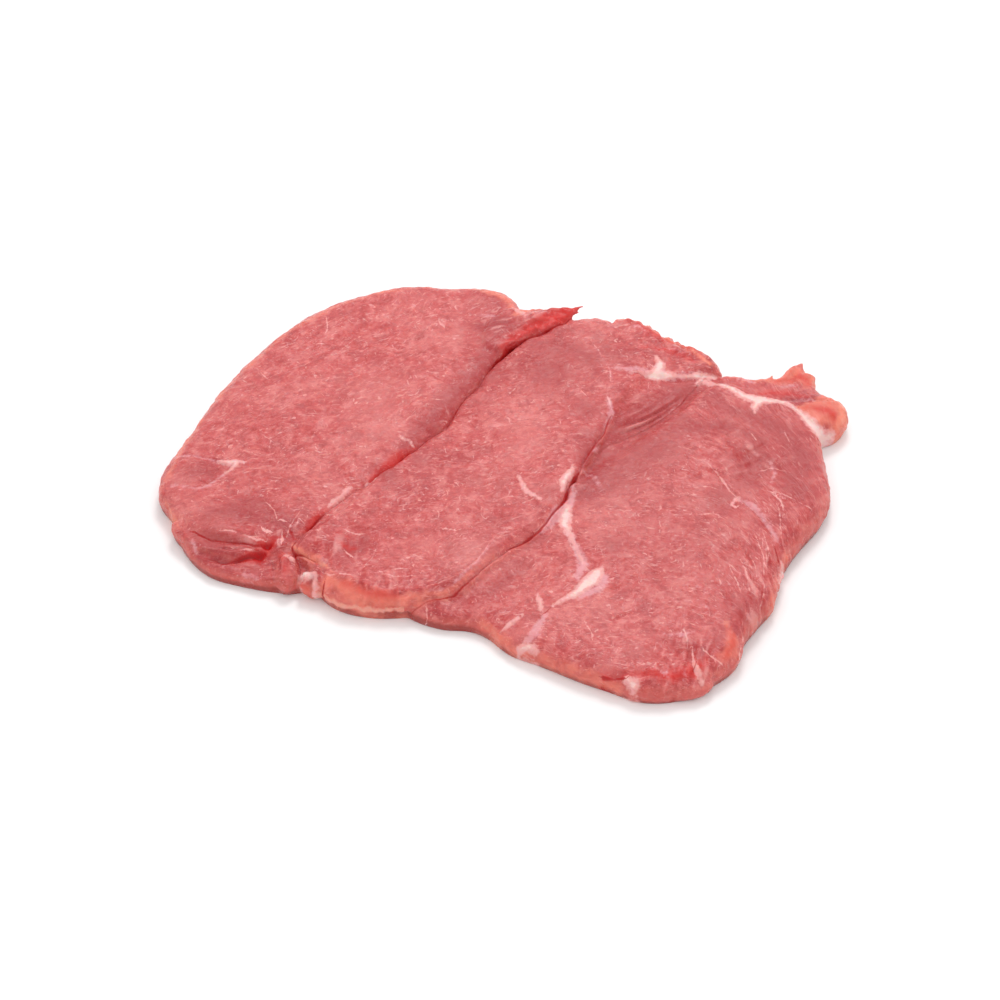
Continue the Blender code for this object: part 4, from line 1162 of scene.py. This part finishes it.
# %% Lean: pattern, tint, where it starts, where it is full, its share
LEAN = [
    ("tone", FLESH_PALE, 0.50, 0.70, 0.40),
    ("tone", FLESH_DEEP, 0.50, 0.32, 0.50),
    ("mottle", FLESH_PALE, 0.50, 0.68, 0.60),
    ("mottle", FLESH_DEEP, 0.50, 0.33, 0.55),
    ("bundles", FLESH_PALE, 0.50, 0.70, 0.60),
    ("bundles", FLESH_DEEP, 0.49, 0.30, 0.42),
    ("ragged", FLESH_PALE, 0.50, 0.72, 0.30),
    ("ragged", FLESH_DEEP, 0.48, 0.28, 0.30),
    ("fine", FLESH_PALE, 0.52, 0.75, 0.20),
    ("fine", FLESH_DEEP, 0.48, 0.27, 0.22),
    ("grit", FLESH_PALE, 0.55, 0.78, 0.12),
    ("grit", FLESH_DEEP, 0.45, 0.24, 0.15),
    ("streaks", MARBLING_AND_SHEEN, 0.60, 0.74, 0.45),
    ("strokes", MARBLING_AND_SHEEN, 0.62, 0.74, 0.60),
    ("cross", MARBLING_AND_SHEEN, 0.64, 0.76, 0.60),
]
colour = FLESH
for name, tint, start, full, share in LEAN:
    colour, _ = lay(colour, tint, patterns[name], start, full, share)
print(len(LEAN), "tints for the lean")

# %% Flecks of marbling: every fourth cell or so has one, and its edge is frayed
FLECK_CELL = (3.6, 2.3, 2.3)  # millimetres between flecks, along and across the fibres
cells = add(
    tree, "ShaderNodeVectorMath", {0: fibres, 1: [1 / size for size in FLECK_CELL]},
    operation="MULTIPLY",
)
flecks = add(tree, "ShaderNodeTexVoronoi", {"Vector": cells.outputs[0], "Scale": 1.0})
draw = add(tree, "ShaderNodeSeparateColor", {0: flecks.outputs["Color"]})
sizes = {"Value": draw.outputs[0], "From Min": 0.72, "From Max": 1.0, "To Min": -0.05, "To Max": 0.22}
size = add(tree, "ShaderNodeMapRange", sizes)
inside = add(
    tree, "ShaderNodeMath", {0: size.outputs[0], 1: flecks.outputs["Distance"]},
    operation="SUBTRACT",
)
colour, _ = lay(colour, MARBLING_AND_SHEEN, inside.outputs[0], -0.03, 0.09, 0.65, fray=("ragged", 0.4))

# %% Layers: attribute, tint, the pattern that frays it, by how much, start, full, share
LAYERS = [
    # Partly the lean's own tone, and partly painted shade and painted light.
    ("tone_and_shade", DARK_LEAN_AND_SHADE, "mottle", 1.2, 0.0, 1.0, 0.60),
    ("tone_and_shade", FLESH_PALE, "mottle", 1.2, 0.0, -1.0, 0.60),
    # Darker lean, partly painted shade in the valley and along the left seam.
    ("deep", DARK_LEAN_AND_SHADE, "mottle", 8.0, -4.0, 4.5, 0.60),
    # Painted shade in the troughs of the wrinkles, and a painted highlight on their ridges.
    ("furrows", CLEFT_SHADE_RED, "grit", 0.2, -0.04, -0.35, 0.45),
    ("furrows", MARBLING_AND_SHEEN, "grit", 0.2, 0.08, 0.38, 0.45),
    # Painted glow on the sloping sides, and painted shade on the steepest ones.
    ("wall", SALMON_GLOW, "mottle", 0.5, 0.10, 0.60, 0.25),
    ("wall", WALL_SHADE_RED, "mottle", 0.5, 0.40, 0.95, 0.45),
    # Painted contact shadow at the foot of the walls.
    ("foot", FOOT_SHADOW_BROWN, "ragged", 1.0, -0.2, 1.4, 0.70),
    ("glow", SALMON_GLOW, "mottle", 5.0, -1.8, 1.4, 0.75),
    # Torn red, partly painted shade at the crease ends and above the far fat seam.
    ("red", TORN_RED_AND_SHADE, "mottle", 3.0, -1.8, 2.2, 0.85),
    # Painted glow through the thin rims.
    ("rim", RIM_GLOW_ORANGE, "ragged", 1.4, -0.6, 0.7, 0.75),
    ("fringe", FRINGE_PALE, "ragged", 2.4, -0.6, 0.7, 0.75),
    # Silver skin, and a few patches of painted sheen.
    ("film_and_sheen", SILVER_AND_SHEEN, "ragged", 3.0, -0.6, 0.9, 0.62),
    ("fat", FAT_PINK, "ragged", 2.2, -0.7, 0.3, 0.90),
    ("fat", FAT_WHITE, "ragged", 2.2, 0.3, 1.3, 0.85),
    # Painted shade inside the pits.
    ("pit_shade", PIT_SHADE_RED, "ragged", 0.8, -0.4, 0.5, 0.95),
]
masks = {}
for name, tint, pattern, amount, start, full, share in LAYERS:
    depth = add(tree, "ShaderNodeAttribute", attribute_name=name).outputs["Fac"]
    colour, masks[name] = lay(colour, tint, depth, start, full, share, fray=(pattern, amount))
print("layers by attribute:", ", ".join(masks))

# %% Thin lines: attribute, tint, how much the line frays, start, full, share
LINES = [
    ("thread", MARBLING_AND_SHEEN, 1.3, -0.28, 0.22, 0.80),
    # Painted shade in the clefts: dark red, and darker at the middle of each slit.
    ("slit_shade", CLEFT_SHADE_RED, 0.6, -0.28, 0.22, 0.90),
    ("slit_shade", CLEFT_SHADE_DARK, 0.6, 0.25, 0.80, 0.85),
]
NEAR_LINE = (-1.6, -1.0)  # depths between which the signed distance stops being trusted
for name, tint, amount, start, full, share in LINES:
    marks = add(tree, "ShaderNodeAttribute", attribute_name=name).outputs["Vector"]
    signed, half, rough_depth = add(tree, "ShaderNodeSeparateXYZ", {0: marks}).outputs
    off_line = add(tree, "ShaderNodeMath", {0: signed}, operation="ABSOLUTE").outputs[0]
    depth = add(tree, "ShaderNodeMath", {0: half, 1: off_line}, operation="SUBTRACT").outputs[0]
    limits = {"Value": rough_depth, "From Min": NEAR_LINE[0], "From Max": NEAR_LINE[1]}
    near = add(tree, "ShaderNodeMapRange", limits, interpolation_type="SMOOTHSTEP").outputs[0]
    colour, _ = lay(colour, tint, depth, start, full, share, fray=("ragged", amount), near=near)
tree.links.new(colour, shader.inputs["Base Color"])

# %% Wet gloss and the fine relief of fibres and flecks
wet = {"Value": patterns["patchy"], "From Min": 0.3, "From Max": 0.7}
wetness = add(tree, "ShaderNodeMapRange", {**wet, "To Min": 0.17, "To Max": 0.36})
tree.links.new(wetness.outputs[0], shader.inputs["Roughness"])
RELIEF = [
    (patterns["bundles"], 0.6),
    (patterns["ragged"], 0.6),
    (patterns["fine"], 0.45),
    (patterns["grit"], 0.35),
    (patterns["strokes"], 0.3),
    (masks["fat"], 0.3),
]
height = 0.0
for pattern, amount in RELIEF:
    raised = add(
        tree, "ShaderNodeMath", {0: pattern, 1: amount, 2: height}, operation="MULTIPLY_ADD"
    )
    height = raised.outputs[0]
RELIEF_HEIGHT = 0.28  # millimetres
settings = {"Height": height, "Strength": 1.0, "Distance": RELIEF_HEIGHT * MM}
bump = add(tree, "ShaderNodeBump", settings)
tree.links.new(bump.outputs[0], shader.inputs["Normal"])
shader.inputs["IOR"].default_value = 1.4
shader.inputs["Specular IOR Level"].default_value = 0.35
shader.inputs["Subsurface Weight"].default_value = 0.75
shader.inputs["Subsurface Radius"].default_value = (1.0, 0.3, 0.2)
shader.inputs["Subsurface Scale"].default_value = 0.0009  # metres that red light goes in
steak.data.materials.append(flesh)
print("raw_lean_pork:", len(tree.nodes), "nodes")

# %% [markdown]
# ## Stage, light and camera
# The slice lies on a plain white surface in a white tent, so it is lit from all sides, with one
# lamp behind it that brings out the wet sheen and leaves a faint shadow under the near edges.
# The camera looks down at 45 degrees.

# %% Floor
floor_bm = bmesh.new()
bmesh.ops.create_grid(floor_bm, x_segments=1, y_segments=1, size=3.0)
floor_mesh = bpy.data.meshes.new("floor")
floor_bm.to_mesh(floor_mesh)
floor_bm.free()
floor = bpy.data.objects.new("floor", floor_mesh)
bpy.context.scene.collection.objects.link(floor)
# Matt white paint: it shows the faint shadow and nothing else.
white = bpy.data.materials.new("white_surface")
white.use_nodes = True
paint = white.node_tree.nodes["Principled BSDF"]
paint.inputs["Base Color"].default_value = (0.93, 0.93, 0.93, 1)
paint.inputs["Roughness"].default_value = 0.9
paint.inputs["Specular IOR Level"].default_value = 0.0
floor.data.materials.append(white)

# %% Light
world = bpy.data.worlds.new("studio")
world.use_nodes = True
world.node_tree.nodes["Background"].inputs["Color"].default_value = (1, 1, 1, 1)
world.node_tree.nodes["Background"].inputs["Strength"].default_value = 1.0
bpy.context.scene.world = world
lamp = bpy.data.lights.new("softbox", "AREA")
lamp.shape = "SQUARE"
lamp.size = 0.3  # metres along each side
lamp.energy = 2.9  # watts
softbox = bpy.data.objects.new("softbox", lamp)
softbox.location = (0.08, 0.50, 0.82)  # metres
softbox.rotation_euler = softbox.location.to_track_quat("Z", "Y").to_euler()
bpy.context.scene.collection.objects.link(softbox)

# %% Camera
AIM = Vector((-0.0030, -0.0069, 0.0))  # the place on the floor at the picture's middle
SLANT = math.radians(45)
DISTANCE = 0.688  # metres from the camera to that place
camera_data = bpy.data.cameras.new("camera")
camera_data.lens = 75  # millimetres, as the sensor's width
camera_data.sensor_width = 36
camera = bpy.data.objects.new("camera", camera_data)
camera.location = AIM + DISTANCE * Vector((0, -math.cos(SLANT), math.sin(SLANT)))
camera.rotation_euler = (math.pi / 2 - SLANT, 0, 0)
bpy.context.scene.collection.objects.link(camera)
bpy.context.scene.camera = camera
bpy.context.scene.view_settings.view_transform = "Standard"
print("camera", round(camera.location.length, 2), "m from the steak")

# %% Hand over
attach(steak, "root")
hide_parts(STEAK)
bpy.context.view_layer.update()
